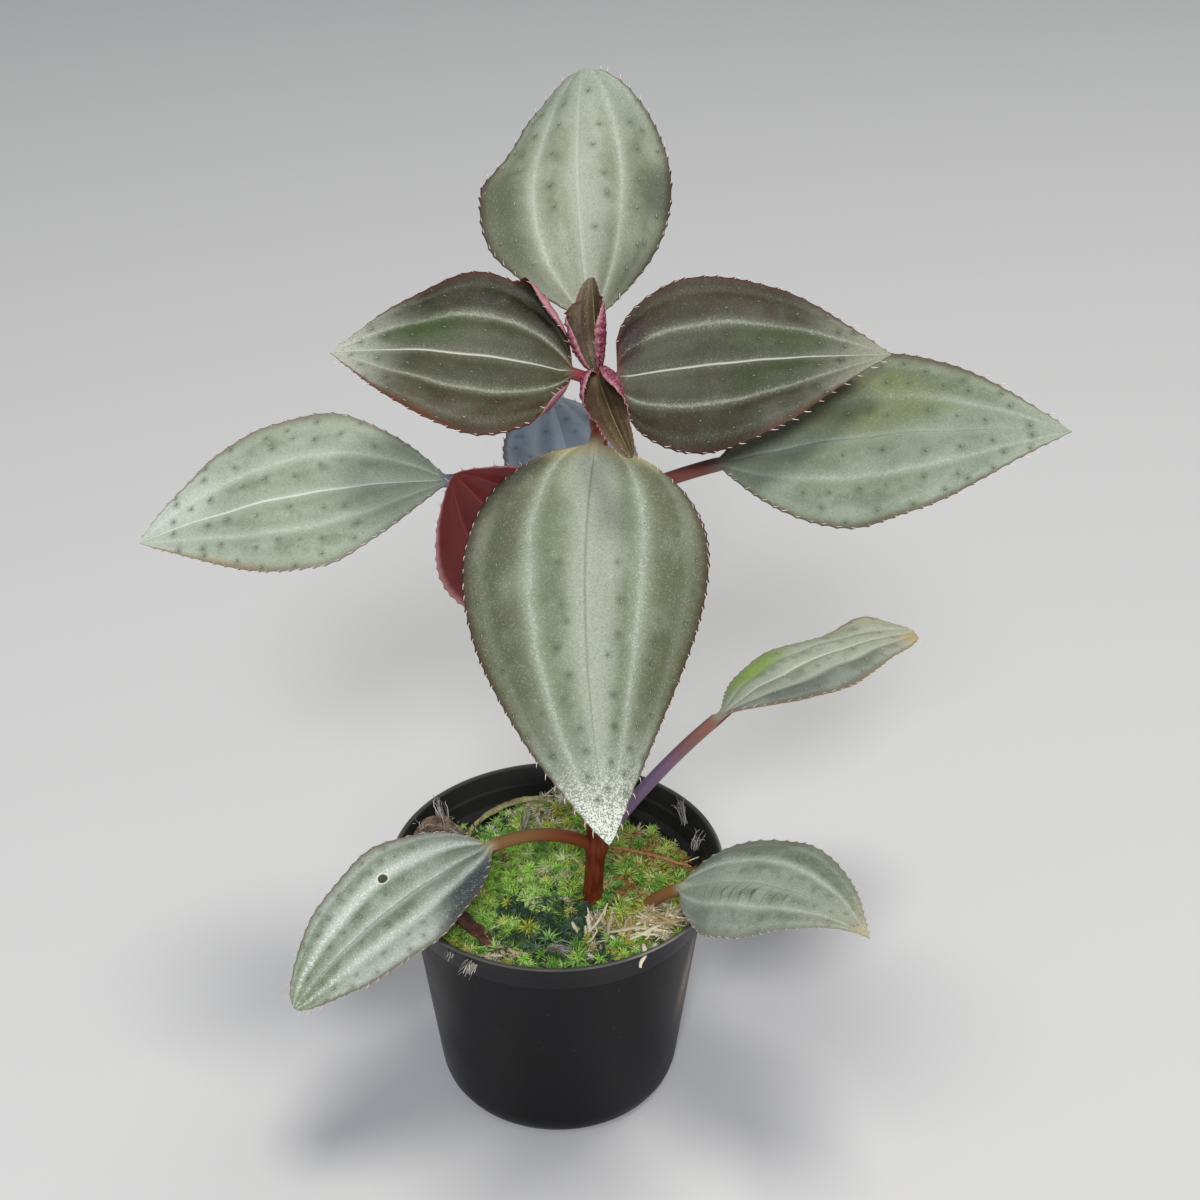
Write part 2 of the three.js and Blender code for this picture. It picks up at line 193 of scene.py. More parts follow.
def makeStudio():
    camera = bpy.data.cameras.new("camera")
    camera.lens = view["lens"]
    camera.sensor_width = view["sensor"]
    camera.clip_start = 0.01
    stand = bpy.data.objects.new("camera", camera)
    stand.location = view["cameraAt"]
    stand.rotation_euler = (math.radians(view["pitch"]), 0, 0)
    bpy.context.scene.collection.objects.link(stand)
    bpy.context.scene.camera = stand
    bm = bmesh.new()
    bmesh.ops.create_grid(bm, x_segments=1, y_segments=1, size=view["floorSize"])
    mesh = bpy.data.meshes.new("floor")
    bm.to_mesh(mesh)
    bm.free()
    # Matt painted board: pale, even, no gloss
    board = startMaterial("matt board", Roughness=0.8, Base_Color=linearColour(view["floorColour"]))[0]
    mesh.materials.append(board)
    floor = bpy.data.objects.new("floor", mesh)
    bpy.context.scene.collection.objects.link(floor)
    for name in ("key", "fill", "rim"):
        addLight(name)
    world = bpy.data.worlds.new("studio")
    world.use_nodes = True
    bpy.context.scene.world = world
    back = world.node_tree.nodes["Background"]
    back.inputs["Color"].default_value = linearColour(view["sky"])
    back.inputs["Strength"].default_value = view["skyStrength"]
    bpy.context.scene.view_settings.view_transform = "Standard"


makeStudio()
print("studio ready")


# Leaves. Each follows the frame's leaf: where its stalk leaves the stem, its heading and swing,
# its slope at the stem, the blade's base and its tip, and the blade's outline and folds.
leafMesh = {
    "columns": 38, "rowStep": 0.55, "stalkStep": 1.3, "thickness": 0.62,
    "rib": 0.6, "groove": 0.3, "pleat": 0.55, "nerve": 0.45,
    "toothStep": 2.5, "tooth": 0.3, "hairLength": 1.15, "hairRadius": 0.135,
    "bristleLength": 0.55, "bristleRadius": 0.07, "unrest": 0.5,
}
stemShape = {
    "foot": Vector((6.8, -5, 38)), "knee": Vector((8.2, -5, 61)), "top": Vector((9, -5, 168)),
    "radiusLow": 2.1, "radiusHigh": 1.45, "nodes": (61, 114, 140, 158, 165), "swelling": 0.55,
    "columns": 32, "rowStep": 1.2,
}
leaves = {
    "leaf_upper_right": dict(
        node=165, turn=-1, swing=(-1.5, -10), stalk=3.5, rise=(30, 12, 5), length=48.5, width=34,
        roll=(-50, -26), fold=7, widest=0.35, full=(0.51, 0.95), edge=1.5, wave=(0.35, 2.5, 20),
        stalkRadius=1.1, look="oliveRight"),
    "leaf_upper_left": dict(
        node=165, turn=185, swing=(4, -19), stalk=5.6, rise=(31, 20, -10), length=43.7, width=36,
        roll=(36.5, 14.5), fold=7, widest=0.41, full=(0.84, 0.95), edge=1.2, wave=(0.35, 2.5, 80),
        stalkRadius=1.1, look="oliveLeft",
        inroll=[(1, -0.02, 0.27, 0.14, 230), (-1, -0.02, 0.14, 0.16, 200)]),
    "leaf_top_back": dict(
        node=158, turn=98, swing=(4.5, -20), stalk=18.5, rise=(62, 52, 35), length=51, width=36,
        roll=(-25, 21), fold=-9.5, widest=0.48, full=(0.72, 0.5), edge=2.9, wave=(0.6, 3, 140),
        stalkRadius=1.2, look="back", dents=[(-1, 0.74, 0.1, 1.5), (-1, 0.56, 0.06, -0.5)]),
    "leaf_front": dict(
        node=154, turn=271, swing=(-9.5, 22.5), stalk=11, rise=(66, -27, -46), length=73.5, width=43,
        roll=(0, 3), fold=-6, widest=0.29, full=(0.63, 0.87), edge=3.8, wave=(0.35, 3.5, 0),
        stalkRadius=1.3, look="front"),
    "leaf_middle_left": dict(
        node=140, turn=175.7, swing=(0, 9), stalk=28, rise=(20.5, -2, -23), length=61, width=34,
        roll=(28, 34), fold=8, widest=0.45, full=(1.19, 0.95), edge=1.6, wave=(0.35, 3, 60),
        stalkRadius=1.3, look="midLeft"),
    "leaf_middle_right": dict(
        node=140, turn=-5, swing=(-7, -7.5), stalk=24, rise=(30.5, 21.5, 5.5), length=63.6, width=36.5,
        roll=(-27.5, -36), fold=4, widest=0.42, full=(1.2, 1.03), edge=1.6, wave=(0.35, 3, 200),
        stalkRadius=1.3, look="midRight"),
    "leaf_underside_red": dict(
        node=114, turn=215, swing=(-14, -6), stalk=7.5, rise=(66.5, 53, 53), length=39, width=33,
        roll=(-80, -89), fold=0.5, widest=0.48, full=(0.69, 0.79), edge=0.8, wave=(0.3, 2.5, 0),
        stalkRadius=1.2, look="red"),
    "leaf_shaded_back": dict(
        node=114, turn=99, swing=(0, 4), stalk=16, rise=(45, 30, 5), length=46, width=27,
        roll=(0, 0), fold=8, widest=0.5, full=(0.9, 0.9), edge=0.8, wave=(0.3, 2.5, 90),
        stalkRadius=1.2, look="blue"),
    "leaf_high_right": dict(
        node=61, turn=37.5, swing=(6, -21), stalk=37.5, rise=(41, 13, -6), length=55, width=30.5,
        roll=(21, 9), fold=4.5, widest=0.43, full=(2.0, 0.51), edge=2.8, wave=(0.4, 2, 250),
        curl=(0.84, 3.4), stalkRadius=1.35, look="high"),
    "leaf_low_left": dict(
        node=61, turn=197, swing=(13, 8.5), stalk=25, rise=(41.5, -7, -40.5), length=50, width=27,
        roll=(0.5, 21.5), fold=10, widest=0.38, full=(0.98, 0.67), edge=1.1, wave=(0.35, 3, 30),
        stalkRadius=1.35, look="lowLeft", scar=(0.415, 0.45)),
    "leaf_low_right": dict(
        start=(15.7, -7.6, 43), turn=-33, swing=(-0.5, -36), stalk=19, rise=(67, 34.6, 10),
        length=57.3, width=26.3, roll=(-25, -10.3), fold=6.9, widest=0.35, full=(0.8, 1.16), edge=3,
        wave=(0.4, 3, 120), stalkRadius=1.3, look="lowRight"),
    "leaf_young_back": dict(
        node=166, turn=101.5, swing=(-1, -3), stalk=1.2, rise=(64, 57.5, 65), length=17, width=7.4,
        roll=(44, 27), fold=40, widest=0.5, full=(0.47, 0.5), edge=-0.4, wave=(0, 1, 0),
        stalkRadius=0.6, look="young", young=True,
        inroll=[(1, -0.55, 0.78, 0.26, 240), (-1, -0.35, 0.74, 0.33, 240)]),
    "leaf_young_front": dict(
        node=166, turn=266, swing=(4.7, 23), stalk=4.4, rise=(52, 11.5, -26), length=27, width=6.9,
        roll=(-18, -34.5), fold=34, widest=0.56, full=(0.48, 0.44), edge=0.1, wave=(0, 1, 0),
        stalkRadius=0.7, look="young", young=True,
        inroll=[(1, -0.4, 0.64, 0.36, 240), (-1, -0.35, 0.76, 0.36, 240)]),
}


def stemAt(height):
    low, high = ("foot", "knee") if height < stemShape["knee"].z else ("knee", "top")
    start, end = stemShape[low], stemShape[high]
    return start.lerp(end, (height - start.z) / (end.z - start.z))


def frameAt(leaf, s):
    k = min(s / leaf["stalk"], 1.0)
    t = max((s - leaf["stalk"]) / leaf["length"], 0.0)
    heading = math.radians(leaf["turn"] + leaf["swing"][0] * k + leaf["swing"][1] * t)
    first, second, third = leaf["rise"]
    slope = math.radians(lerp(first, second, k) + (third - second) * t)
    lean = math.radians(leaf["roll"][0] * ease(k) + (leaf["roll"][1] - leaf["roll"][0]) * t)
    cosH, sinH, cosS, sinS = math.cos(heading), math.sin(heading), math.cos(slope), math.sin(slope)
    ahead = Vector((cosH * cosS, sinH * cosS, sinS))
    flatSide = Vector((sinH, -cosH, 0))
    flatUp = Vector((-cosH * sinS, -sinH * sinS, cosS))
    side = flatSide * math.cos(lean) + flatUp * math.sin(lean)
    up = flatUp * math.cos(lean) - flatSide * math.sin(lean)
    return {"t": t, "s": s, "ahead": ahead, "side": side, "up": up}


def halfWidth(leaf, t):
    u = t ** (math.log(0.5) / math.log(leaf["widest"]))
    fullness = lerp(leaf["full"][0], leaf["full"][1], u)
    return leaf["width"] / 2 * max(math.sin(math.pi * u), 0.0) ** fullness


def leafRows(leaf):
    stalkRows = max(4, round(leaf["stalk"] / leafMesh["stalkStep"]))
    bladeRows = round(leaf["length"] / leafMesh["rowStep"] * (2 if leaf.get("young") else 1))
    stops = [leaf["stalk"] * i / stalkRows for i in range(stalkRows)]
    stops += [leaf["stalk"] + leaf["length"] * i / bladeRows for i in range(bladeRows + 1)]
    point = Vector(leaf["start"]) if "start" in leaf else stemAt(leaf["node"])
    rows = []
    before = 0.0
    run = 0.0
    widthBefore = 0.0
    pieces = 4
    for stop in stops:
        for i in range(pieces):
            middle = frameAt(leaf, before + (stop - before) * (i + 0.5) / pieces)
            point = point + middle["ahead"] * ((stop - before) / pieces)
        row = frameAt(leaf, stop)
        row["point"] = point.copy()
        row["onStalk"] = stop < leaf["stalk"] - 1e-6
        row["w"] = 0.0 if row["onStalk"] else halfWidth(leaf, row["t"])
        run += math.hypot(stop - before, row["w"] - widthBefore) if not row["onStalk"] else 0.0
        row["run"] = run
        widthBefore = row["w"]
        before = stop
        rows.append(row)
    return rows


def lift(leaf, t, v, w, seed):
    spread = ease(w / (leaf["width"] / 2))
    depth, count, phase = leaf["wave"]
    ripple = depth * math.sin(2 * math.pi * count * t + math.radians(phase)) * v * abs(v)
    crest = leafMesh["pleat"] * math.sin(math.pi * v / leafMesh["nerve"]) ** 2
    crest *= 0.25 if leaf.get("young") else 1.0
    folded = w * abs(v) * math.sin(math.radians(leaf["fold"]))
    curlAt, curlHeight = leaf.get("curl", (0.5, 0))
    curl = curlHeight * v * v * bell((t - curlAt) / 0.1) if v < 0 else 0.0
    loose = noise.noise(Vector((t * leaf["length"] / 8, v * w / 8, seed))) * leafMesh["unrest"]
    return folded + (ripple + crest + loose - leaf["edge"] * v * v) * spread + curl


def rollUp(leaf, t, v, w):
    # A margin rolled up into a tube: its place across and above the blade, and how far it turned
    for side, start, end, share, angle in leaf.get("inroll", ()):
        if w > 0.05 and v * side > 1 - share and start < t < end:
            window = math.sin(math.pi * (t - start) / (end - start)) ** 0.6
            turn = max(math.radians(angle) * window, 0.05)
            crinkle = 1 + 0.35 * noise.noise(Vector((t * leaf["length"] / 0.55, 5 * side + 3 * abs(v), 0)))
            radius = share * w / min(turn, 1.0) * crinkle
            bend = turn * (abs(v) - (1 - share)) / share
            out = w * (1 - share) + radius * math.sin(bend)
            return side * out, radius * (1 - math.cos(bend)), side * bend
    return v * w, 0.0, 0.0


def bladePoint(leaf, row, v, face, seed):
    t, w = row["t"], row["w"]
    radius = leaf["stalkRadius"] * (1 - t) ** 0.8
    x, rolled, turned = rollUp(leaf, t, v, w)
    young = 0.55 if leaf.get("young") else 1.0
    half = leafMesh["thickness"] / 2 * young * math.sqrt(max(1 - abs(v) ** 16, 0.0)) * (1 - 0.6 * t)
    y = rolled
    for side, start, reach, depth in leaf.get("dents", ()):
        x -= side * depth * bell((t - start) / reach) * abs(v) ** 3 * (v * side > 0)
    if not turned:
        x = (x + row["tooth"][v > 0] * v ** 10 * math.copysign(1, v)) * math.cos(math.radians(leaf["fold"]))
        roundX = radius * math.sin(v * math.pi / 2)
        x = x if abs(x) > abs(roundX) else roundX
        fade = max(1 - t / (0.05 if face > 0 else 0.5), 0.0)
        if not row["onStalk"]:
            besideNerve = bell((abs(v) - leafMesh["nerve"]) * w / 0.45)
            depth = min(w / 4, 1) * young
            if face < 0:
                half += leafMesh["rib"] * (1 - t) * (bell(x / 0.6) + 0.4 * besideNerve) * depth
            else:
                half -= leafMesh["groove"] * math.sqrt(1 - t) * (bell(x / 0.3) + 0.3 * besideNerve) * depth
        half = max(half, math.sqrt(max(radius * radius - x * x, 0.0)) * fade)
    if not row["onStalk"]:
        y += lift(leaf, t, v, w, seed)
    normal = row["up"] * math.cos(turned) - row["side"] * math.sin(turned)
    return row["point"] + row["side"] * x + row["up"] * y + normal * (face * half)


def spreadColumn(q):  # columns closer together at the midrib and the margins
    x = abs(q)
    return math.copysign(x - 0.4 / (2 * math.pi) * math.sin(2 * math.pi * x), q)


def addLayers(bm):
    bm.loops.layers.uv.new("blade")
    for name in ("spotGap", "scarGap", "tone", "along"):
        bm.verts.layers.float.new(name)


def wrapGrid(columns, rows, place):
    # A grid rolled into a closed skin: its two side edges meet and both ends close to a point
    bm = bmesh.new()
    addLayers(bm)
    column, line = bm.verts.layers.int.new("column"), bm.verts.layers.int.new("line")
    bmesh.ops.create_grid(bm, x_segments=columns, y_segments=rows, size=1.0)
    for vert in bm.verts:
        vert[column] = round((vert.co.x + 1) / 2 * columns)
        vert[line] = round((vert.co.y + 1) / 2 * rows)
        vert.co = place(vert[column], vert[line]) * mm
    return bm


def closeSkin(bm):
    bmesh.ops.remove_doubles(bm, verts=bm.verts, dist=1e-6)
    bmesh.ops.recalc_face_normals(bm, faces=bm.faces)


def hairShape(length, radius, bend, segments=4):
    # A bristle: a slim cone cut twice across, then bent over towards +X
    bm = bmesh.new()
    addLayers(bm)
    bmesh.ops.create_cone(
        bm, cap_ends=True, segments=segments, radius1=radius, radius2=radius * 0.12, depth=length)
    for cut in (-0.2, 0.15):
        bmesh.ops.bisect_plane(
            bm, geom=bm.verts[:] + bm.edges[:] + bm.faces[:], plane_co=(0, 0, cut * length),
            plane_no=(0, 0, 1))
    along = bm.verts.layers.float["along"]
    for vert in bm.verts:
        vert[along] = vert.co.z / length + 0.5
        vert.co.z += length / 2
        vert.co.x += bend * length * vert[along] ** 2
    for face in bm.faces:
        face.material_index = 2
    bmesh.ops.transform(bm, matrix=Matrix.Scale(mm, 4), verts=bm.verts)
    return bm


scratch = bpy.data.meshes.new("scratch")


def stamp(whole, shape, matrix, tone=0.5):  # adds one copy of a small shape to a piece
    copy = shape.copy()
    copy.transform(matrix)
    layer = copy.verts.layers.float["tone"]
    for vert in copy.verts:
        vert[layer] = tone
    copy.to_mesh(scratch)
    copy.free()
    whole.from_mesh(scratch)


def standing(at, ahead, up, scale=1.0):
    # Places a shape at a point in millimetres with +Z along ahead and +X leaning to up
    z = ahead.normalized()
    x = (up - z * up.dot(z)).normalized()
    y = z.cross(x)
    turn = Matrix((x, y, z)).transposed().to_4x4()
    return Matrix.Translation(at * mm) @ turn @ Matrix.Scale(scale, 4)


def placeTeeth(rows, leaf, rand):
    # Hair-tipped teeth along both margins, each on a row of the mesh
    fine = 0.42 if leaf.get("young") else 1.0
    step = leafMesh["toothStep"] * fine
    teeth = []
    for side in (0, 1):
        runs = []
        run = step * rand.uniform(0.6, 1.4)
        while run < rows[-1]["run"] - 0.6 * step:
            nearest = min(range(len(rows)), key=lambda i: abs(rows[i]["run"] - run))
            runs.append(rows[nearest]["run"])
            teeth.append((nearest, side))
            run += step * rand.uniform(0.8, 1.25)
        for row in rows:
            row.setdefault("tooth", [0.0, 0.0])
            if not row["onStalk"]:
                gap = min(abs(row["run"] - run) for run in runs)
                row["tooth"][side] = leafMesh["tooth"] * fine * max(1 - gap / (0.42 * step), 0.0) ** 1.4
    return teeth


def placeBristles(leaf, rand):
    # Bristles stand in rows between the nerves and inside the margins
    places = []
    for v, start, end in ((0.24, 0.32, 0.93), (0.66, 0.2, 0.86), (0.88, 0.25, 0.9)):
        for side in (-1, 1):
            t = start + rand.uniform(0, 5) / leaf["length"]
            while t < end and not leaf.get("young"):
                places.append((t, side * (v + rand.uniform(-0.08, 0.07))))
                t += rand.uniform(3.6, 7.5) / leaf["length"]
    return places


def makeLeaf(name, leaf, materials, seed):
    rand = random.Random(seed)
    rows = leafRows(leaf)
    m = leafMesh["columns"]
    teeth = placeTeeth(rows, leaf, rand)
    last = len(rows) - 1
    bladeStart = next(i for i, row in enumerate(rows) if not row["onStalk"])

    def atRow(t):
        return rows[min(bladeStart + round(t * (last - bladeStart)), last)]

    spots = KDTree(200)
    bristles = []
    for t, v in placeBristles(leaf, rand):
        at = bladePoint(leaf, atRow(t), v, 1, seed)
        spots.insert(at, len(bristles))
        bristles.append((at, atRow(t)))
    spots.balance()
    scarAt = bladePoint(leaf, atRow(leaf["scar"][0]), leaf["scar"][1], 1, seed) if "scar" in leaf else None

    def place(i, j):
        row = rows[min(max(j - 1, 0), last)]
        if j == 0 or j == last + 2:
            return row["point"].copy()
        q = i / m - 1 if i <= 2 * m else 3 - i / m
        return bladePoint(leaf, row, spreadColumn(q), 1 if i < 2 * m else -1, seed)

    bm = wrapGrid(4 * m, last + 2, place)
    uv = bm.loops.layers.uv["blade"]
    spotGap = bm.verts.layers.float["spotGap"]
    scarGap = bm.verts.layers.float["scarGap"]
    column, line = bm.verts.layers.int["column"], bm.verts.layers.int["line"]
    for vert in bm.verts:
        onTop = vert[column] <= 2 * m
        at = vert.co / mm
        vert[spotGap] = min(spots.find(at)[2], 9.0) if bristles and onTop else 9.0
        vert[scarGap] = min((at - scarAt).length, 9.0) if scarAt and onTop else 9.0
    for face in bm.faces:
        face.material_index = 1 if min(vert[column] for vert in face.verts) >= 2 * m else 0
        for loop in face.loops:
            i = loop.vert[column]
            row = rows[min(max(loop.vert[line] - 1, 0), last)]
            q = i / m - 1 if i <= 2 * m else 3 - i / m
            loop[uv].uv = ((spreadColumn(q) + 1) / 2, min((row["s"] - leaf["stalk"]) / leaf["length"], 1.0))
    closeSkin(bm)

    size = 0.5 if leaf.get("young") else 1.0
    for index, side in teeth:
        row = rows[index]
        v = 1 if side else -1
        at = bladePoint(leaf, row, v * 0.98, 1, seed)
        out = (at - bladePoint(leaf, row, v * 0.9, 1, seed)).normalized() * rand.uniform(0.35, 0.7)
        out += row["ahead"] + row["up"] * rand.uniform(0.1, 0.5)
        stamp(bm, marginHair, standing(at, out, row["ahead"], size * rand.uniform(0.65, 1.1)),
              rand.random())
    for at, row in bristles:
        out = row["up"] + row["ahead"] * rand.uniform(0.3, 0.9) + row["side"] * rand.uniform(-0.3, 0.3)
        stamp(bm, bristle, standing(at, out, row["ahead"], rand.uniform(0.7, 1.2)), rand.random())
    return finishPiece(bm, name + "_skin", materials, looks[leaf["look"]]["slot"], name)


# How each leaf looks from above. The first two outer colours lie beyond the nerves on the left and
# the right of the way the leaf grows; patches are places with a colour of their own, and some of them are
# painted shade or painted light.
plainLook = {
    "slot": "leaf_silver", "green": "#89957b", "shade": "#5f6c52", "outerLeft": "#757e60",
    "outerRight": "#757e60", "outer": 0.45, "silver": "#b8c1ac", "tipColour": "#aeb6a4", "midrib": 0.6,
    "nerve": 0.45, "nerveGlow": 0.35, "glowReach": 0.12, "fade": 0.5, "tip": 0.6, "haze": 0.25,
    "tipGlint": 0.1, "sparkle": 0.2, "glint": 0.1, "zone": 0.5, "crinkle": 0.0,
    "line": "#d5d9c6", "lineShare": 0.5, "margin": "#54423a", "rim": 0.75, "base": "#7d7763",
    "stalk": "#6f3a34", "stalkLow": "#6f3a34", "under": "#5c2220", "underBase": "#5c2220",
    "patches": (), "ladder": 0.0, "dots": 0.55,
}
looks = {
    "front": dict(
        plainLook, green="#7d866a", shade="#57624a", outerLeft="#5b5c40", outerRight="#5a5a42", outer=0.8,
        silver="#b0b8a4", tipColour="#b2b9ac", midrib=0.35, nerve=0.4, nerveGlow=0.32, fade=0.9, tip=0.5,
        tipGlint=1.0, sparkle=0.3, glint=0.12, zone=0.4, haze=0.2, line="#5e5c2c", lineShare=0.45,
        margin="#453428", base="#b5ad7e", stalk="#9a4a30", stalkLow="#8a4430", under="#54201f",
        underBase="#54201f",
        # The second patch, pale at the base by the midrib, is partly the leaf's own pale base and partly
        # painted light against the young leaf's shadow
        patches=[(-0.08, 0.4, 0.26, 0.6, "#a9ae9c", 0.6), (0.0, 0.04, 0.4, 0.16, "#c6cab2", 0.5)]),
    "back": dict(
        plainLook, green="#8d9378", shade="#646f54", outerLeft="#767b62", outerRight="#6a7056", outer=0.5,
        # The lighter bluish tip colour is partly the silver tip and partly a painted highlight
        silver="#bcc1ae", tipColour="#9fa99c", margin="#453a30", base="#86805c", stalk="#8c4444",
        nerve=0.5, midrib=0.45, fade=0.9, line="#c0c4aa", lineShare=0.35,
        # The first patch, dark at the lower left below the folded corner, is painted shade
        patches=[(-0.88, 0.36, 0.4, 0.3, "#52553e", 0.75), (0.95, 0.52, 0.3, 0.12, "#4b5042", 0.6),
                 (0.12, 0.45, 0.26, 0.55, "#a9ae9c", 0.55)]),
    "oliveLeft": dict(
        plainLook, slot="leaf_upper", green="#44442f", shade="#353c20", outerLeft="#3c3019",
        outerRight="#221a10", outer=0.95, silver="#9ea28a", tipColour="#cdd1bd", midrib=0.3, nerve=0.65,
        nerveGlow=0.25, fade=0.4, dots=0.35, tip=0.75, haze=0.1, glint=0.04, sparkle=0.2, zone=0.6,
        line="#d6d8c6", lineShare=0.8, margin="#4c2b22", rim=0.75, base="#5c4030", stalk="#8c2f3c",
        stalkLow="#9a3a2a",
        under="#5a1a28", underBase="#702036",
        patches=[(0.27, 0.62, 0.24, 0.22, "#42512a", 0.75), (-1.0, 0.66, 0.14, 0.25, "#703e28", 0.65)]),
    "oliveRight": dict(
        plainLook, slot="leaf_upper", green="#424231", shade="#353a22", outerLeft="#362c19",
        outerRight="#362f1e", outer=0.9, silver="#9b9f8a", tipColour="#a3a68e", midrib=0.3, nerve=0.65,
        nerveGlow=0.2, fade=0.4, tip=0.7, haze=0.1, glint=0.04, sparkle=0.2, zone=0.55, line="#d0d3c2",
        lineShare=0.8, margin="#472a24", rim=0.75, base="#5a3428", stalk="#8c2f3c", stalkLow="#9a3a2a",
        under="#5a1a28", underBase="#6c2034",
        patches=[(-0.26, 0.62, 0.24, 0.25, "#424e2a", 0.7), (0.26, 0.6, 0.24, 0.25, "#424e2a", 0.5),
                 # The last patch, dark purple at the base between the midrib and the nerve, is a painted
                 # shadow
                 (1.0, 0.7, 0.13, 0.22, "#74472e", 0.5), (-0.6, 0.04, 0.5, 0.1, "#2c181c", 0.8)]),
    "midLeft": dict(
        plainLook, green="#97a189", outerLeft="#97a189", outerRight="#8a957c", outer=0.35,
        tipColour="#c8cfc0", silver="#c6cdba", line="#e6e9db", lineShare=0.7, margin="#7a7266",
        # Its bluish grey base is a faint painted shade
        base="#6f7080", stalk="#5b4650", stalkLow="#6f3a34", nerve=0.35, dots=0.5, zone=0.4,
        patches=[(-0.97, 0.8, 0.12, 0.3, "#a8926e", 0.6), (0.5, 0.86, 0.6, 0.16, "#cdd4c8", 0.5)]),
    "midRight": dict(
        plainLook, green="#808b73", outerLeft="#6a6e4c", outerRight="#87927a", outer=0.55,
        tipColour="#a9af9c", silver="#b3bcab", line="#5c6449", lineShare=0.4, margin="#5a453a",
        base="#6b5550", stalk="#7b4a42", stalkLow="#8a4a3c", midrib=0.4, nerve=0.35,
        patches=[(-0.4, 0.44, 0.45, 0.26, "#777c4c", 0.6)]),
    "high": dict(
        # The dark grey outer zone on the right is painted shade on the lower side
        plainLook, green="#a3ab93", outerLeft="#98a286", outerRight="#5f6360", outer=0.7,
        tipColour="#b5b296", silver="#c8cebb", margin="#8a7450", base="#9b9878", stalk="#9c6c5c",
        # The lavender of the lower stalk is partly painted bluish light
        stalkLow="#8c7492", line="#d8dac2", nerve=0.25, dots=0.3,
        patches=[(-0.9, 0.32, 0.7, 0.23, "#84a046", 0.95), (0.6, 0.97, 0.7, 0.08, "#c2a878", 0.7)]),
    "lowLeft": dict(
        plainLook, green="#808c76", outerLeft="#9fa798", outerRight="#a0a79b", outer=0.6,
        tipColour="#808c68", silver="#ced4c8", midrib=0.2, nerve=0.3, nerveGlow=0.85, glowReach=0.2,
        fade=0.6, tipGlint=0.2, sparkle=0.9, glint=0.2, line="#45442f", lineShare=0.5, margin="#6b6054",
        base="#b3a878", stalk="#8f6a3e", stalkLow="#8a4424", dots=0.4,
        # The first patch, dark slate by the base, is painted shade
        patches=[(-0.9, 0.19, 0.5, 0.23, "#40474a", 0.95), (-0.7, 0.6, 0.35, 0.35, "#bcc2b6", 0.5)]),
    "lowRight": dict(
        plainLook, green="#98a491", outerLeft="#66705a", outerRight="#8c9386", outer=0.7,
        tipColour="#b0aa8a", silver="#c2cabc", midrib=0.25, nerve=0.4, nerveGlow=0.5, tipGlint=0.3,
        sparkle=0.5, glint=0.2, line="#5c5f4a", lineShare=0.35, margin="#8a8468", rim=0.5, base="#a0a080",
        stalk="#9a6c42", stalkLow="#8a5028", ladder=0.75, dots=0.2,
        patches=[(0.0, 0.97, 1.2, 0.07, "#c9b98a", 0.6)]),
    # Pale blue-grey throughout: painted bluish light, made lighter than the leaf's own colour against the
    # shade it lies in
    "blue": dict(
        plainLook, green="#c6d6e0", shade="#8ca2b4", outerLeft="#c0d2de", outerRight="#c0d2de",
        silver="#e2edf2", midrib=0.2, nerve=0.15, nerveGlow=0.2, zone=0.4, line="#a9b6c0", base="#9aa3a2",
        stalk="#8a4536", margin="#6f6a70", dots=0.4),
    "red": dict(
        plainLook, slot="leaf_underside", green="#4d4e38", under="#641812", underBase="#6c1a16",
        stalk="#8a3a2a", margin="#6a3c30"),
    "young": dict(
        plainLook, slot="leaf_young", green="#54442c", shade="#3c2e20", outerLeft="#4e342a",
        outerRight="#4e342a", outer=0.5, silver="#a39a74", midrib=0.4, nerve=0.0, nerveGlow=0.0, tip=0.2,
        glint=0.03, line="#a59c72", lineShare=0.5, tipColour="#7c7050", margin="#9a5a6c", rim=0.8,
        base="#6c2636", stalk="#8c2c40", stalkLow="#9a3a2a", under="#74243c", underBase="#661c30",
        crinkle=0.6),
}


def bladePlace(tree):
    # Across the blade from -1 at one margin to 1 at the other, and along it from base 0 to tip 1
    parts = addNode(tree, "ShaderNodeSeparateXYZ", {0: addNode(tree, "ShaderNodeUVMap", uv_map="blade")})
    return compute(tree, "MULTIPLY_ADD", parts, 2.0, -1.0), parts.outputs["Y"]


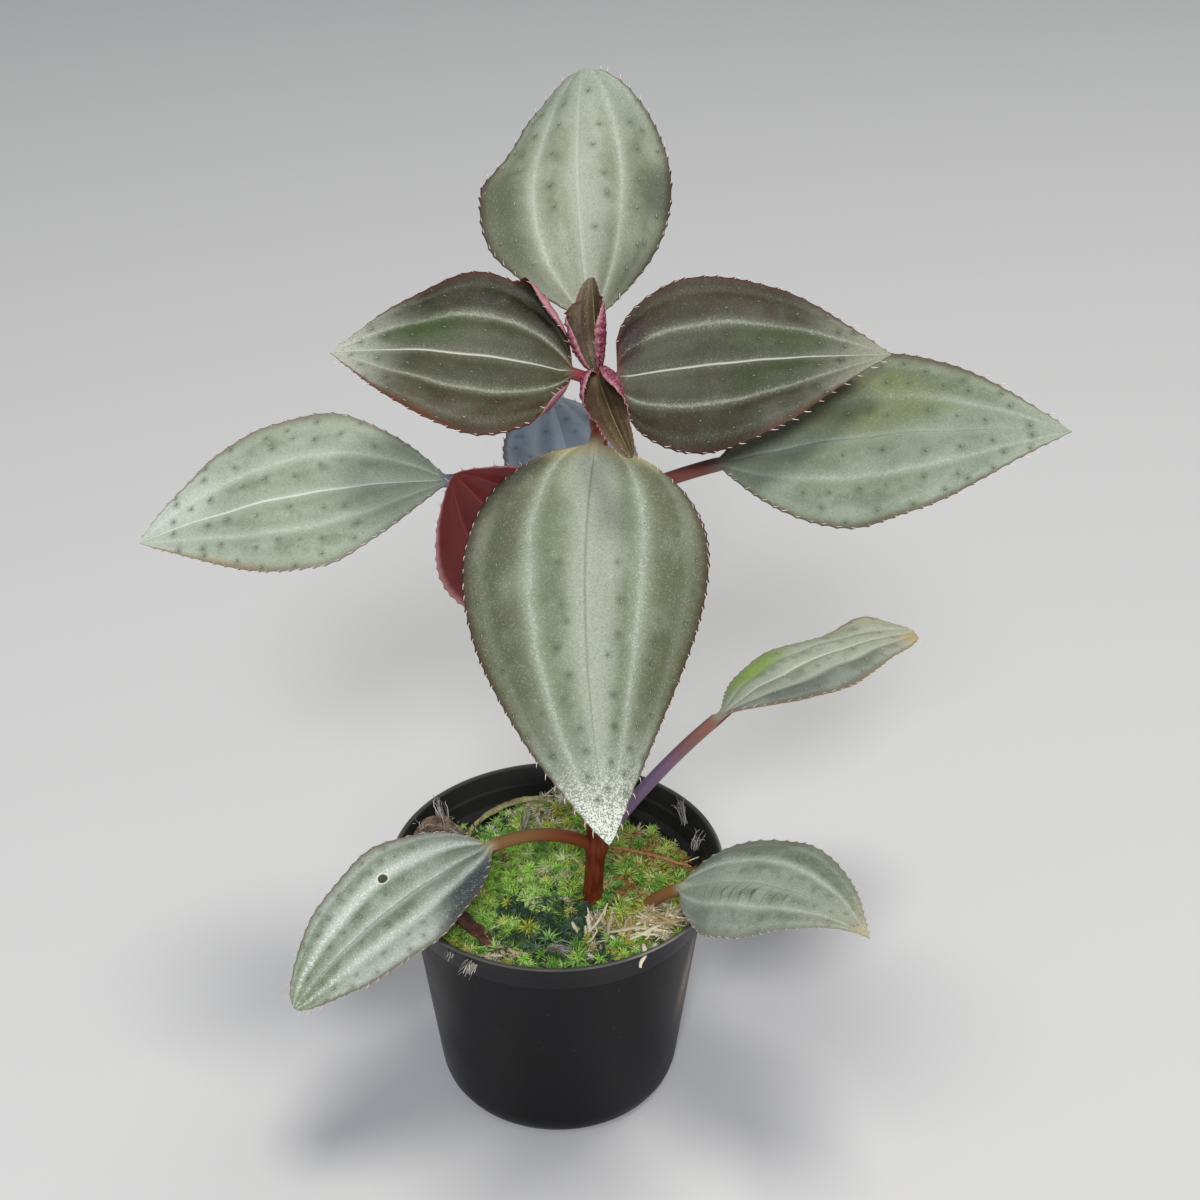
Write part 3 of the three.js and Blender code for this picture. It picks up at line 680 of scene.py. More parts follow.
def leafTop(name, look):
    # Living leaf, satin: domed clear cells over an air layer give a silvery, finely sparkling green, whose
    # sparkle is painted into the colour as glints
    material, tree, shader = startMaterial(name, Roughness=0.45, IOR=1.42, Specular_IOR_Level=0.32)
    sideways, along = bladePlace(tree)
    place = objectPlace(tree)
    broad, smear = mottle(tree, place, 9, 2.0), mottle(tree, place, 3.4, 1.0)
    fine = mottle(tree, place, 0.5, 2.0)
    exact = compute(tree, "ABSOLUTE", sideways)
    across = compute(tree, "ADD", exact, compute(tree, "MULTIPLY_ADD", broad, 0.06, -0.03))
    colour = look["green"]
    # Outer zones, darker between the base and the middle of the blade
    beyond = times(
        tree, ramp(tree, across, 0.42, 0.64), ramp(tree, along, 0.55, 1.0, 1.0, 0.25), look["outer"])
    onLeft, onRight = ramp(tree, sideways, -0.1, 0.1, 1.0, 0.0), ramp(tree, sideways, -0.1, 0.1)
    colour = tint(tree, colour, times(tree, beyond, onLeft), look["outerLeft"])
    colour = tint(tree, colour, times(tree, beyond, onRight), look["outerRight"])
    # Dark smears between the nerves
    between = most(tree, stripe(tree, across, 0.25, 0.18), stripe(tree, across, 0.68, 0.18))
    smears = times(tree, between, ramp(tree, smear, 0.42, 0.62), ramp(tree, along, 0.1, 0.35), look["zone"])
    colour = tint(tree, colour, smears, look["shade"])
    # Silver: haze, nerves with a soft glow, and the tip
    colour = tint(tree, colour, times(tree, ramp(tree, broad, 0.45, 0.7), look["haze"]), look["silver"])
    glow = times(tree, stripe(tree, across, 0.0, 0.16), 0.6)
    glow = most(tree, glow, stripe(tree, across, 0.46, look["glowReach"]))
    glow = most(tree, glow, times(tree, stripe(tree, across, 0.84, 0.08), 0.4))
    colour = tint(tree, colour, times(tree, glow, look["nerveGlow"]), look["silver"])
    cores = most(tree, times(tree, stripe(tree, across, 0.0, 0.05), look["midrib"]),
                 times(tree, stripe(tree, across, 0.46, 0.04), look["nerve"]))
    fading = ramp(tree, along, 0.6, 0.95, 1.0, 1.0 - look["fade"])
    cores = times(tree, cores, ramp(tree, fine, 0.3, 0.6, 0.6, 1.0), fading)
    colour = tint(tree, colour, cores, look["silver"])
    colour = tint(tree, colour, times(tree, ramp(tree, along, 0.62, 1.0), look["tip"]), look["tipColour"])
    for v, t, reachV, reachT, code, share in look["patches"]:
        gapV = times(tree, compute(tree, "SUBTRACT", sideways, v), 1 / reachV)
        gapT = times(tree, compute(tree, "SUBTRACT", along, t), 1 / reachT)
        gap = compute(tree, "ADD", times(tree, gapV, gapV), times(tree, gapT, gapT))
        colour = tint(tree, colour, times(tree, ramp(tree, gap, 0.15, 1.15, 1.0, 0.0), share), code)
    # Single cells, drawn coarser than life so that they show: some carry painted glints, denser at the tip
    # and along the nerves, some are dim
    cells = addNode(tree, "ShaderNodeTexVoronoi", {"Vector": place, "Scale": perMetre(0.21)})
    chance = addNode(tree, "ShaderNodeSeparateColor", {0: cells.outputs["Color"]}).outputs["Red"]
    tipGlint = times(tree, ramp(tree, along, 0.74, 0.97), look["tipGlint"])
    glint = compute(tree, "ADD", chance, times(tree, tipGlint, 0.5))
    shown = most(tree, look["glint"], times(tree, glow, look["sparkle"]))
    shown = most(tree, times(tree, tipGlint, 0.8), shown)
    colour = tint(tree, colour, times(tree, ramp(tree, glint, 0.78, 1.0), shown), "#eceee0")
    colour = tint(tree, colour, times(tree, ramp(tree, chance, 0.0, 0.4, 1.0, 0.0), 0.3), look["shade"])
    # Midrib line, cross creases and brown margin
    line = times(tree, stripe(tree, exact, 0.0, 0.02), look["lineShare"])
    colour = tint(tree, colour, line, look["line"])
    if look["ladder"]:
        rungs = compute(tree, "ADD", times(tree, along, 120.0), times(tree, smear, 5.0))
        rungs = ramp(tree, compute(tree, "SINE", rungs), 0.85, 1.0)
        rungs = times(tree, rungs, stripe(tree, sideways, 0.22, 0.3), stripe(tree, along, 0.36, 0.42))
        colour = tint(tree, colour, times(tree, rungs, look["ladder"]), "#3f4738")
    colour = tint(tree, colour, times(tree, ramp(tree, across, 0.9, 0.985), look["rim"]), look["margin"])
    # Soft green dots round the bristles, and the dead spot
    gap = meshValue(tree, "spotGap")
    uneven = compute(tree, "ADD", gap, times(tree, smear, -1.2))
    halo = times(tree, ramp(tree, uneven, -0.5, 0.75, 1.0, 0.0), look["dots"])
    colour = tint(tree, colour, halo, look["shade"])
    pit = times(tree, ramp(tree, gap, 0.12, 0.5, 1.0, 0.0), look["dots"])
    colour = tint(tree, colour, pit, "#2f3826")
    scar = meshValue(tree, "scarGap")
    colour = tint(tree, colour, ramp(tree, scar, 1.15, 1.5, 1.0, 0.0), "#d9d9c2")
    colour = tint(tree, colour, ramp(tree, scar, 0.95, 1.1, 1.0, 0.0), "#42443c")
    # Base of the blade and the stalk
    colour = tint(tree, colour, ramp(tree, along, 0.0, 0.05, 0.8, 0.0), look["base"])
    colour = tint(tree, colour, ramp(tree, along, -0.04, 0.02, 1.0, 0.0), look["stalk"])
    colour = tint(tree, colour, ramp(tree, along, -0.4, -0.06, 1.0, 0.0), look["stalkLow"])
    dress(tree, shader, colour, compute(tree, "SUBTRACT", fine, cells), 0.6, 0.07)
    return material


def leafUnder(name, look):
    # Underside of the leaf: smooth maroon skin with slightly paler nerves
    material, tree, shader = startMaterial(name, Roughness=0.45, IOR=1.42)
    sideways, along = bladePlace(tree)
    across = compute(tree, "ABSOLUTE", sideways)
    place = objectPlace(tree)
    broad, fine = mottle(tree, place, 5, 3.0), mottle(tree, place, 0.4, 2.0)
    colour = tint(tree, look["under"], ramp(tree, broad, 0.45, 0.8, 0.0, 0.5), "#4a1418")
    ribs = most(tree, stripe(tree, across, 0.0, 0.05), stripe(tree, across, 0.45, 0.035))
    colour = tint(tree, colour, times(tree, ribs, 0.35), "#94483c")
    colour = tint(tree, colour, ramp(tree, along, 0.1, 0.4, 1.0, 0.0), look["underBase"])
    # Pale pink flecks where the young margins crinkle: partly pale tissue, partly painted highlights
    if look["crinkle"]:
        colour = tint(tree, colour, ramp(tree, fine, 0.48, 0.72, 0.0, look["crinkle"]), "#c98f9a")
    colour = tint(tree, colour, ramp(tree, across, 0.9, 1.0, 0.0, 0.5), "#d9a0a4")
    colour = tint(tree, colour, ramp(tree, along, -0.04, 0.02, 1.0, 0.0), look["stalk"])
    colour = tint(tree, colour, ramp(tree, along, -0.4, -0.06, 1.0, 0.0), look["stalkLow"])
    dress(tree, shader, colour, fine, 0.4, 0.05)
    return material


def hairMaterial():
    # Plant bristle: stiff, glassy, pale pink at the foot and nearly white at the tip
    material, tree, shader = startMaterial("bristle", Roughness=0.4, IOR=1.5)
    dress(tree, shader, tint(tree, "#d9aa9c", meshValue(tree, "along"), "#fff6f0"))
    return material


marginHair = hairShape(leafMesh["hairLength"], leafMesh["hairRadius"], 0.35)
bristle = hairShape(leafMesh["bristleLength"], leafMesh["bristleRadius"], 0.3)
hairSkin = hairMaterial()
tops = {key: leafTop("leaf face " + key, look) for key, look in looks.items()}
unders = {key: leafUnder("leaf back " + key, look) for key, look in looks.items()}
for number, (name, leaf) in enumerate(leaves.items()):
    makeLeaf(name, leaf, [tops[leaf["look"]], unders[leaf["look"]], hairSkin], number + 1)
print("leaves ready")


def stemMaterial():
    # Herbaceous stem: red-brown skin, faint lengthwise streaks, soft gloss
    material, tree, shader = startMaterial("stem skin", Roughness=0.45, IOR=1.42)
    drawn = addNode(tree, "ShaderNodeMapping", {"Vector": objectPlace(tree), "Scale": (1.0, 1.0, 0.2)})
    streaks = mottle(tree, drawn, 0.9, 2.0)
    colour = tint(tree, "#6c2a15", ramp(tree, streaks, 0.35, 0.65), "#8c4122")
    dress(tree, shader, colour, streaks, 0.2, 0.08)
    return material


def makeStem():
    foot, top = stemShape["foot"].z, stemShape["top"].z
    rows = round((top - foot) / stemShape["rowStep"])

    def place(i, j):
        height = lerp(foot, top, min(max(j - 1, 0), rows) / rows)
        k = (height - foot) / (top - foot)
        centre = stemAt(height)
        if j == 0 or j == rows + 2:
            return centre
        swell = sum(stemShape["swelling"] * bell((height - node) / 1.6) for node in stemShape["nodes"])
        radius = lerp(stemShape["radiusLow"], stemShape["radiusHigh"], k) + swell
        radius *= math.sqrt(max(1 - max((height - top + 1.5) / 1.5, 0) ** 2, 0.02))
        angle = 2 * math.pi * i / stemShape["columns"]
        out = Vector((math.cos(angle), math.sin(angle), 0))
        radius *= 1 + 0.05 * noise.noise(out * 1.5 + Vector((0, 0, height / 7)))
        return centre + out * radius

    bm = wrapGrid(stemShape["columns"], rows + 2, place)
    closeSkin(bm)
    return finishPiece(bm, "stem_skin", [stemMaterial()], "stem", "stem")


makeStem()
print("stem ready")


# Round nursery pot, thin black plastic: wall from the underside to the rim and back down inside
potShape = {
    "height": 54, "rim": 35, "foot": 23.4, "wall": 1.0, "collar": 7, "floorRise": 1.4,
    "holes": 6, "holeRadius": 2.4, "holeRing": 14, "steps": 144,
    "reflectionAt": -14.0, "reflectionSlant": 0.09, "reflectionWide": 3.0,
}


def potOuter():
    height, collar = potShape["height"], potShape["height"] - potShape["collar"]
    return [
        (0, 0), (potShape["foot"], 0), (24.5, 0.6), (25.3, 1.9), (25.8, 3.6), (26, 5), (29.6, 35),
        (31, collar - 1), (31.4, collar - 0.8), (32.2, collar - 0.25), (32.4, collar + 0.1),
        (33.3, height - 3.8), (33.5, height - 3.3), (34.85, height - 0.35), (34.9, height - 0.1),
        (34.75, height)]


def potInner():
    height, collar = potShape["height"], potShape["height"] - potShape["collar"]
    return [
        (34.2, height), (34, height - 0.15), (32.7, height - 3.5), (32, height - 3.8),
        (31.4, collar + 0.3), (30, collar - 0.8), (29.6 - potShape["wall"], 35),
        (26 - potShape["wall"], 5), (23.8, potShape["floorRise"] + potShape["wall"]),
        (0, potShape["floorRise"] + potShape["wall"])]


def innerRadius(z):
    wall = potInner()
    for (r1, z1), (r2, z2) in zip(wall, wall[1:]):
        if z2 <= z <= z1 and z1 > z2:
            return lerp(r2, r1, (z - z2) / (z1 - z2))
    return wall[0][0]


def spinProfile(bm, points, steps):
    verts = [bm.verts.new((x * mm, 0, z * mm)) for x, z in points]
    edges = [bm.edges.new(pair) for pair in zip(verts, verts[1:])]
    bmesh.ops.spin(bm, geom=verts + edges, axis=(0, 0, 1), cent=(0, 0, 0), angle=2 * math.pi,
                   steps=steps, use_merge=True)
    closeSkin(bm)


def potMaterial():
    # Injection-moulded polypropylene, black: smooth soft gloss, faint flow marks, dust; painted highlight
    # on the rim edge, painted reflection at the right, painted light inside
    material, tree, shader = startMaterial("black polypropylene", IOR=1.49, Specular_IOR_Level=0.2)
    place = objectPlace(tree)
    cloud, dust = mottle(tree, place, 22, 3.0), mottle(tree, place, 1.1, 4.0)
    parts = addNode(tree, "ShaderNodeSeparateXYZ", {0: place})
    toRight, toBack, height = (parts.outputs[axis] for axis in "XYZ")
    colour = tint(tree, "#0b0a0c", ramp(tree, cloud, 0.35, 0.7), "#121014")
    colour = tint(tree, colour, ramp(tree, dust, 0.69, 0.8, 0.0, 0.4), "#7a7568")
    # Painted highlight along the top edge of the rim
    top = potShape["height"] * mm
    rimHighlight = ramp(tree, height, top - 0.5 * mm, top - 0.1 * mm)
    rimHighlight = times(tree, rimHighlight, ramp(tree, cloud, 0.4, 0.6, 0.4, 0.9))
    colour = tint(tree, colour, rimHighlight, "#98948b")
    # Painted reflection of a warm light: a tan streak down the right side
    slant = compute(tree, "MULTIPLY_ADD", height, potShape["reflectionSlant"], potShape["reflectionAt"] * mm)
    reflectionStreak = times(
        tree, stripe(tree, compute(tree, "SUBTRACT", toBack, slant), 0.0, potShape["reflectionWide"] * mm),
        ramp(tree, toRight, 0.0, 1 * mm), stripe(tree, height, 34 * mm, 16 * mm),
        ramp(tree, dust, 0.3, 0.6, 0.5, 0.9))
    colour = tint(tree, colour, reflectionStreak, "#957c68")
    # Painted light on the inside wall, lighter in cloudy patches
    inside = times(tree, meshValue(tree, "along"), ramp(tree, cloud, 0.3, 0.7, 0.5, 1.0))
    dress(tree, shader, tint(tree, colour, inside, "#2e2e29"), dust, 0.12, 0.05)
    tree.links.new(ramp(tree, cloud, 0.3, 0.7, 0.35, 0.46).outputs[0], shader.inputs["Roughness"])
    return material


def makePot():
    bm = bmesh.new()
    addLayers(bm)
    spinProfile(bm, potOuter() + potInner(), potShape["steps"])
    drills = bmesh.new()
    for i in range(potShape["holes"]):
        angle = 2 * math.pi * (i + 0.5) / potShape["holes"]
        ring, radius = potShape["holeRing"], potShape["holeRadius"]
        spot = Matrix.Translation((ring * mm * math.cos(angle), ring * mm * math.sin(angle), 0))
        bmesh.ops.create_cone(drills, cap_ends=True, segments=32, radius1=radius * mm,
                              radius2=radius * mm, depth=9 * mm, matrix=spot)
    drillMesh = bpy.data.meshes.new("drills")
    drills.to_mesh(drillMesh)
    drills.free()
    drill = bpy.data.objects.new("drills", drillMesh)
    bpy.context.scene.collection.objects.link(drill)
    blank = bpy.data.objects.new("blank", bpy.data.meshes.new("blank"))
    bm.to_mesh(blank.data)
    bpy.context.scene.collection.objects.link(blank)
    bore = blank.modifiers.new("bore", "BOOLEAN")
    bore.object = drill
    bore.operation = "DIFFERENCE"
    bored = blank.evaluated_get(bpy.context.evaluated_depsgraph_get())
    bm.free()
    bm = bmesh.new()
    bm.from_mesh(bored.data)
    inside = bm.verts.layers.float.get("along") or bm.verts.layers.float.new("along")
    for vert in bm.verts:
        x, y, z = vert.co / mm
        vert[inside] = 1.0 if z > 5 and math.hypot(x, y) < innerRadius(z) + 0.25 else 0.0
    for spare in (drill, blank):
        mesh = spare.data
        bpy.data.objects.remove(spare)
        bpy.data.meshes.remove(mesh)
    pot = finishPiece(bm, "pot_shell", [potMaterial()], "pot_plastic", "pot")
    pot.data.set_sharp_from_angle(angle=math.radians(40))


makePot()
print("pot ready")


# Living moss that fills the pot, in clumps of their own colour, the teal ones partly painted shade: place,
# reach and weight
mossShape = {
    "level": 48, "slope": 0.085, "lump": 0.7, "rows": 30, "steps": 110, "gap": 0.35, "heads": 1450,
    "headSize": 2.3, "leafletWidth": 0.8, "wallClear": 1.6, "stemAt": (7.3, -5), "stemClear": 2.8,
    "humpAt": (-1, 27), "humpHeight": 4, "humpArea": 70, "tuftSize": 3.4,
}
mossKinds = {
    "bright": dict(
        tip="#cef876", root="#84ca40", pale="#f2ffb8", share=0.7,
        clumps=[(-11.7, -8.6, 9, 4), (-8, 4.7, 8, 3), (-4, -2, 6, 2)]),
    "golden": dict(
        tip="#dce654", root="#92982c", pale="#f2f29c", share=0.35,
        clumps=[(21.6, -2, 6, 3), (12, -10, 5, 4), (14, -15, 5, 3), (18, 5, 5, 2), (0, 22, 5, 2)]),
    "green": dict(
        tip="#9cd65a", root="#4a8c2e", pale="#cef08e", share=0.6,
        clumps=[(19.5, 1.3, 6, 2), (-19.4, 17.7, 8, 2), (3, -22, 5, 2), (-14, -18, 6, 1.5)]),
    # Dark teal clumps, heaviest at the front middle: partly the moss's own colour, partly painted shade
    "teal": dict(
        tip="#587656", root="#243620", pale="#7e9c7e", share=0.05,
        clumps=[(-0.2, -16.5, 7.2, 13), (-7.5, -10.2, 2.8, 10), (-20, 21, 5, 1.5), (-3, -22, 5, 5)]),
    "straw": dict(
        tip="#efe6bc", root="#b8a46a", pale="#faf5de", share=0.06,
        clumps=[(-3.1, 25.1, 5, 4), (9, -16.5, 3.2, 6), (7, -22.7, 3, 4), (24, -14, 6, 5),
                (17.9, 26, 6, 2), (-1.6, 3, 2.5, 2), (-10.9, -26.5, 3, 4)]),
    "brown": dict(
        tip="#cc9a54", root="#7c562c", pale="#dcc48c", share=0.05,
        clumps=[(14.2, -3.7, 3.5, 3), (26, 8, 6, 2.5), (16, 12, 5, 2), (-11.2, 4.7, 2, 2),
                (-26, 8, 4, 2)]),
}


def mossHeight(x, y):
    humpX, humpY = mossShape["humpAt"]
    away = (x - humpX) ** 2 + (y - humpY) ** 2
    hump = mossShape["humpHeight"] * math.exp(-away / mossShape["humpArea"])
    broad = math.sin(0.42 * x + 1.1) * math.sin(0.5 * y + 0.4)
    fine = 0.6 * math.sin(0.9 * x - 0.6 * y + 2)
    return mossShape["level"] - mossShape["slope"] * y + hump + mossShape["lump"] * (broad + fine)


def mossShares(x, y):
    weights = {}
    for key, kind in mossKinds.items():
        near = sum(w * bell(math.hypot(x - cx, y - cy) / reach) for cx, cy, reach, w in kind["clumps"])
        weights[key] = kind["share"] + near
    return weights


def mossTuft(x, y):
    # About 1 on the tufts and -1 in the hollows between them
    size = mossShape["tuftSize"]
    return max(-1.0, min(1.0, 2.2 * noise.noise(Vector((x / size, y / size, 5.0)))))


def mossBedAt(x, y):
    at = Vector((x, y, 0))
    rough = 0.9 * noise.noise(at / 2.4) + 0.5 * noise.noise(at / 0.9)
    return mossHeight(x, y) - 1.5 + 0.6 * mossTuft(x, y) + rough


def bedMaterial():
    # Older moss under the living tips: matt and fibrous, green, blue-green or brown like the tips
    material, tree, shader = startMaterial("old moss", Roughness=0.9)
    blotch = mottle(tree, objectPlace(tree), 1.6, 4.0)
    speckle = ramp(tree, blotch, 0.35, 0.65)
    dry = tint(tree, "#5c4a26", speckle, "#a8935a")
    green = tint(tree, "#4c7428", speckle, "#98c462")
    colour = tint(tree, dry, meshValue(tree, "tone"), green)
    # Darker under the teal clumps, partly painted shade like them
    dress(tree, shader, tint(tree, colour, meshValue(tree, "along"), "#2c3d26"), blotch, 0.8, 0.5)
    return material


def mossMaterial(name, kind):
    # Living moss leaflet: thin moist tissue, pale at the tips and darker down in the cushion
    material, tree, shader = startMaterial(name, Roughness=0.55, IOR=1.4, Specular_IOR_Level=0.3)
    colour = tint(tree, kind["root"], ramp(tree, meshValue(tree, "along"), 0.0, 0.8), kind["tip"])
    colour = tint(tree, colour, ramp(tree, meshValue(tree, "tone"), 0.3, 1.0, 0.0, 0.85), kind["pale"])
    dress(tree, shader, colour)
    return material


def headShape(rand, whorls):
    # One moss head from above: whorls of slim leaflets that spread and droop, the inner ones upright
    bm = bmesh.new()
    addLayers(bm)
    for count, rise, size in whorls:
        for i in range(count):
            leaflet = bmesh.new()
            addLayers(leaflet)
            reach = mossShape["headSize"] * size * rand.uniform(0.8, 1.2)
            bmesh.ops.create_cone(leaflet, cap_ends=False, segments=3, depth=reach,
                                  radius1=mossShape["leafletWidth"] * 0.35, radius2=0.03)
            bmesh.ops.bisect_plane(
                leaflet, geom=leaflet.verts[:] + leaflet.edges[:] + leaflet.faces[:],
                plane_co=(0, 0, 0.0), plane_no=(0, 0, 1))
            along = leaflet.verts.layers.float["along"]
            for vert in leaflet.verts:
                k = vert.co.z / reach + 0.5
                wide = mossShape["leafletWidth"] / 0.35 * 0.7 if 0.2 < k < 0.8 else 1.0
                vert[along] = k
                vert.co = Vector((vert.co.x * 0.5 + 0.45 * reach * k * k, vert.co.y * wide, k * reach))
            heading = 2 * math.pi * (i + rand.uniform(-0.3, 0.3)) / count + rise
            tilt = Matrix.Rotation(math.radians(90 - rise + rand.uniform(-12, 12)), 4, "Y")
            leaflet.transform(Matrix.Scale(mm, 4) @ Matrix.Rotation(heading, 4, "Z") @ tilt)
            leaflet.to_mesh(scratch)
            leaflet.free()
            bm.from_mesh(scratch)
    return bm


def makeMossBed():
    level, gap, rows = mossShape["level"], mossShape["gap"], mossShape["rows"]
    below = [(max(x - gap, 0), z + (gap if z < 4 else 0)) for x, z in reversed(potInner()) if z < 43]
    beside = [(29.7, 46.4), (31, 47.7), (31.7, 50.1)]
    top = [(33 * (1 - i / rows), level) for i in range(rows + 1)]
    bm = bmesh.new()
    addLayers(bm)
    spinProfile(bm, below + beside + top, mossShape["steps"])
    tone, along = bm.verts.layers.float["tone"], bm.verts.layers.float["along"]
    for vert in bm.verts:
        x, y, z = vert.co / mm
        shares = mossShares(x, y)
        whole = sum(shares.values())
        vert[tone] = (shares["bright"] + shares["green"] + shares["golden"] + shares["teal"]) / whole
        vert[along] = shares["teal"] / whole
        if z > 44:
            bed = mossBedAt(x, y)
            z = bed if abs(z - level) < 0.01 else min(z, bed)
            r = math.hypot(x, y)
            limit = innerRadius(z) - gap
            k = min(limit / r, 1.0) if r > 0.01 else 1.0
            vert.co = Vector((x * k, y * k, z)) * mm
    closeSkin(bm)
    finishPiece(bm, "moss_bed", [bedMaterial()], "moss", "moss")


def makeMossHeads():
    rand = random.Random(48)
    shapes = [
        headShape(rand, [(6, 12, 1.0), (6, 38, 0.9), (5, 66, 0.75)]),
        headShape(rand, [(7, 20, 0.8), (6, 48, 0.8), (4, 75, 0.8)]),
        headShape(rand, [(5, 30, 1.1), (6, 56, 0.95), (4, 80, 0.9)]),
        headShape(rand, [(7, 6, 0.75), (6, 32, 0.65), (5, 62, 0.55)]),
    ]
    stemX, stemY = mossShape["stemAt"]
    wholes = {key: bmesh.new() for key in mossKinds}
    for whole in wholes.values():
        addLayers(whole)
    placed = 0
    while placed < mossShape["heads"]:
        x, y = rand.uniform(-33, 33), rand.uniform(-33, 33)
        ground = mossHeight(x, y)
        wallGap = innerRadius(min(ground, 53)) - math.hypot(x, y)
        stemGap = math.hypot(x - stemX, y - stemY)
        if wallGap < mossShape["wallClear"] or stemGap < mossShape["stemClear"]:
            continue
        tuft = mossTuft(x, y)
        if rand.random() < -0.7 * tuft:
            continue
        lean = Vector((rand.uniform(-0.5, 0.5), rand.uniform(-0.5, 0.5), 1.0))
        at = Vector((x, y, ground - 0.8 + 0.9 * tuft + rand.uniform(-0.5, 0.7)))
        size = rand.uniform(0.65, 1.15) * (1 + 0.3 * tuft) * min(1.0, 0.45 + wallGap / 6)
        turned = Vector((math.cos(placed), math.sin(placed), 0))
        shares = mossShares(x, y)
        kind = rand.choices(list(shares), weights=list(shares.values()))[0]
        stamp(wholes[kind], shapes[placed % 4], standing(at, lean, turned, size), rand.random() ** 1.5)
        placed += 1
    for shape in shapes:
        shape.free()
    for key, whole in wholes.items():
        finishPiece(whole, "moss_" + key, [mossMaterial("moss " + key, mossKinds[key])], "moss")


makeMossBed()
makeMossHeads()
print("moss ready")


# Dry stalks, fibres and dead leaf on the moss
strandShape = {"columns": 8, "rowStep": 0.5}


def makeStrand(whole, start, middle, end, width, thickness, tone, rand):
    # A dry fibre along a bent line: a flattened tube that tapers to both ends
    length = (middle - start).length + (end - middle).length
    rows = max(6, round(length / strandShape["rowStep"]))
    seed = rand.uniform(0, 50)

    def place(i, j):
        k = min(max((j - 1) / rows, 0), 1)
        centre = start * (1 - k) ** 2 + middle * 2 * k * (1 - k) + end * k * k
        ahead = ((middle - start) * (1 - k) + (end - middle) * k).normalized()
        side = ahead.cross(Vector((0, 0, 1))).normalized()
        up = side.cross(ahead)
        centre = centre + side * noise.noise(Vector((k * length / 2.5, seed, 0))) * 0.5
        taper = 0.0 if j in (0, rows + 2) else 0.25 + 0.75 * math.sin(math.pi * (0.1 + 0.8 * k))
        angle = 2 * math.pi * i / strandShape["columns"] + 1.5 * k
        rough = 1 + 0.35 * noise.noise(Vector((k * length / 0.8, i % strandShape["columns"], seed)))
        across = side * math.cos(angle) * width + up * math.sin(angle) * thickness
        return centre + across * (0.5 * taper * rough)

    fibre = wrapGrid(strandShape["columns"], rows + 2, place)
    layer, along = fibre.verts.layers.float["tone"], fibre.verts.layers.float["along"]
    for vert in fibre.verts:
        vert[layer] = tone
        vert[along] = vert[fibre.verts.layers.int["line"]] / (rows + 2)
    closeSkin(fibre)
    fibre.to_mesh(scratch)
    fibre.free()
    whole.from_mesh(scratch)


def dryMaterial(name, low, high):
    # Dead plant matter: matt and papery, with small blotches
    material, tree, shader = startMaterial(name, Roughness=0.8)
    blotch = mottle(tree, objectPlace(tree), 0.6, 3.0)
    mixed = compute(tree, "ADD", blotch, meshValue(tree, "tone"))
    dress(tree, shader, tint(tree, low, ramp(tree, mixed, 0.45, 1.35), high), blotch, 0.7, 0.15)
    return material


dryPieces = {
    "dry_strand_back": dict(low="#7c7648", high="#c8bd86", cuts=2, rough=0.5, slot="dry_matter"),
    "dead_leaf_curled": dict(low="#5c4836", high="#b8a07c", cuts=3, rough=1.0, slot="dead_leaf"),
    "leaf_stub_dry": dict(low="#4a2a20", high="#8a5a44", cuts=3, rough=0.6, slot="dead_leaf"),
}


def makeDryPiece(name, kind):
    # The frame's own dry bit, smoothed and roughened
    noise.seed_set(5)  # unseeded, noise_vector starts from the clock and the dents differ in each run
    bm = bmesh.new()
    bm.from_mesh(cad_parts[name].data)
    addLayers(bm)
    bmesh.ops.remove_doubles(bm, verts=bm.verts, dist=1e-6)
    bmesh.ops.subdivide_edges(bm, edges=bm.edges[:], cuts=kind["cuts"], smooth=0.6, use_grid_fill=True)
    tone = bm.verts.layers.float["tone"]
    for vert in bm.verts:
        at = vert.co / mm
        shift = noise.noise_vector(at / 2.6) * kind["rough"] * 0.6 + noise.noise_vector(at / 0.8) * 0.12
        vert.co += shift * mm
        vert[tone] = 0.3 + 0.5 * noise.noise(at / 1.8)
    bmesh.ops.recalc_face_normals(bm, faces=bm.faces)
    finishPiece(bm, name + "_skin", [dryMaterial("dry " + name, kind["low"], kind["high"])],
                kind["slot"], name)


def makeDryStalk():
    # A thin dead stalk from behind the stem to the wall, straight above the moss
    bm = bmesh.new()
    addLayers(bm)
    points = ((10.4, 10.9, 48.9), (19.5, 7.0, 50.2), (28.4, 3.8, 48.8))
    makeStrand(bm, *(Vector(point) for point in points), 0.95, 0.75, 0.5, random.Random(3))
    material = dryMaterial("dead stalk", "#8e5428", "#d49a62")
    finishPiece(bm, "dry_stalk_skin", [material], "dry_matter", "dry_stalk")


# Where the straw lies: a bundle by the front right wall, chips beside the stem, a few at the left
strawShape = {
    "bundleAt": (20.5, -17.0), "bundleCount": 34, "chipsAt": (8.5, -17.5), "chipsCount": 16,
    "leftAt": (-9.5, -26.5), "leftCount": 9, "looseCount": 46, "looseReach": 30,
    "hanging": ((17.6, -25.0, 52.2), (17.9, -28.6, 54.6), (17.2, -31.4, 51.6)),
}


def layStraw(bm, x, y, lift, step, width, thickness, rand):
    middle = Vector((x, y, mossHeight(x, y) + lift))
    makeStrand(bm, middle - step, middle, middle + step, width, thickness, rand.random(), rand)


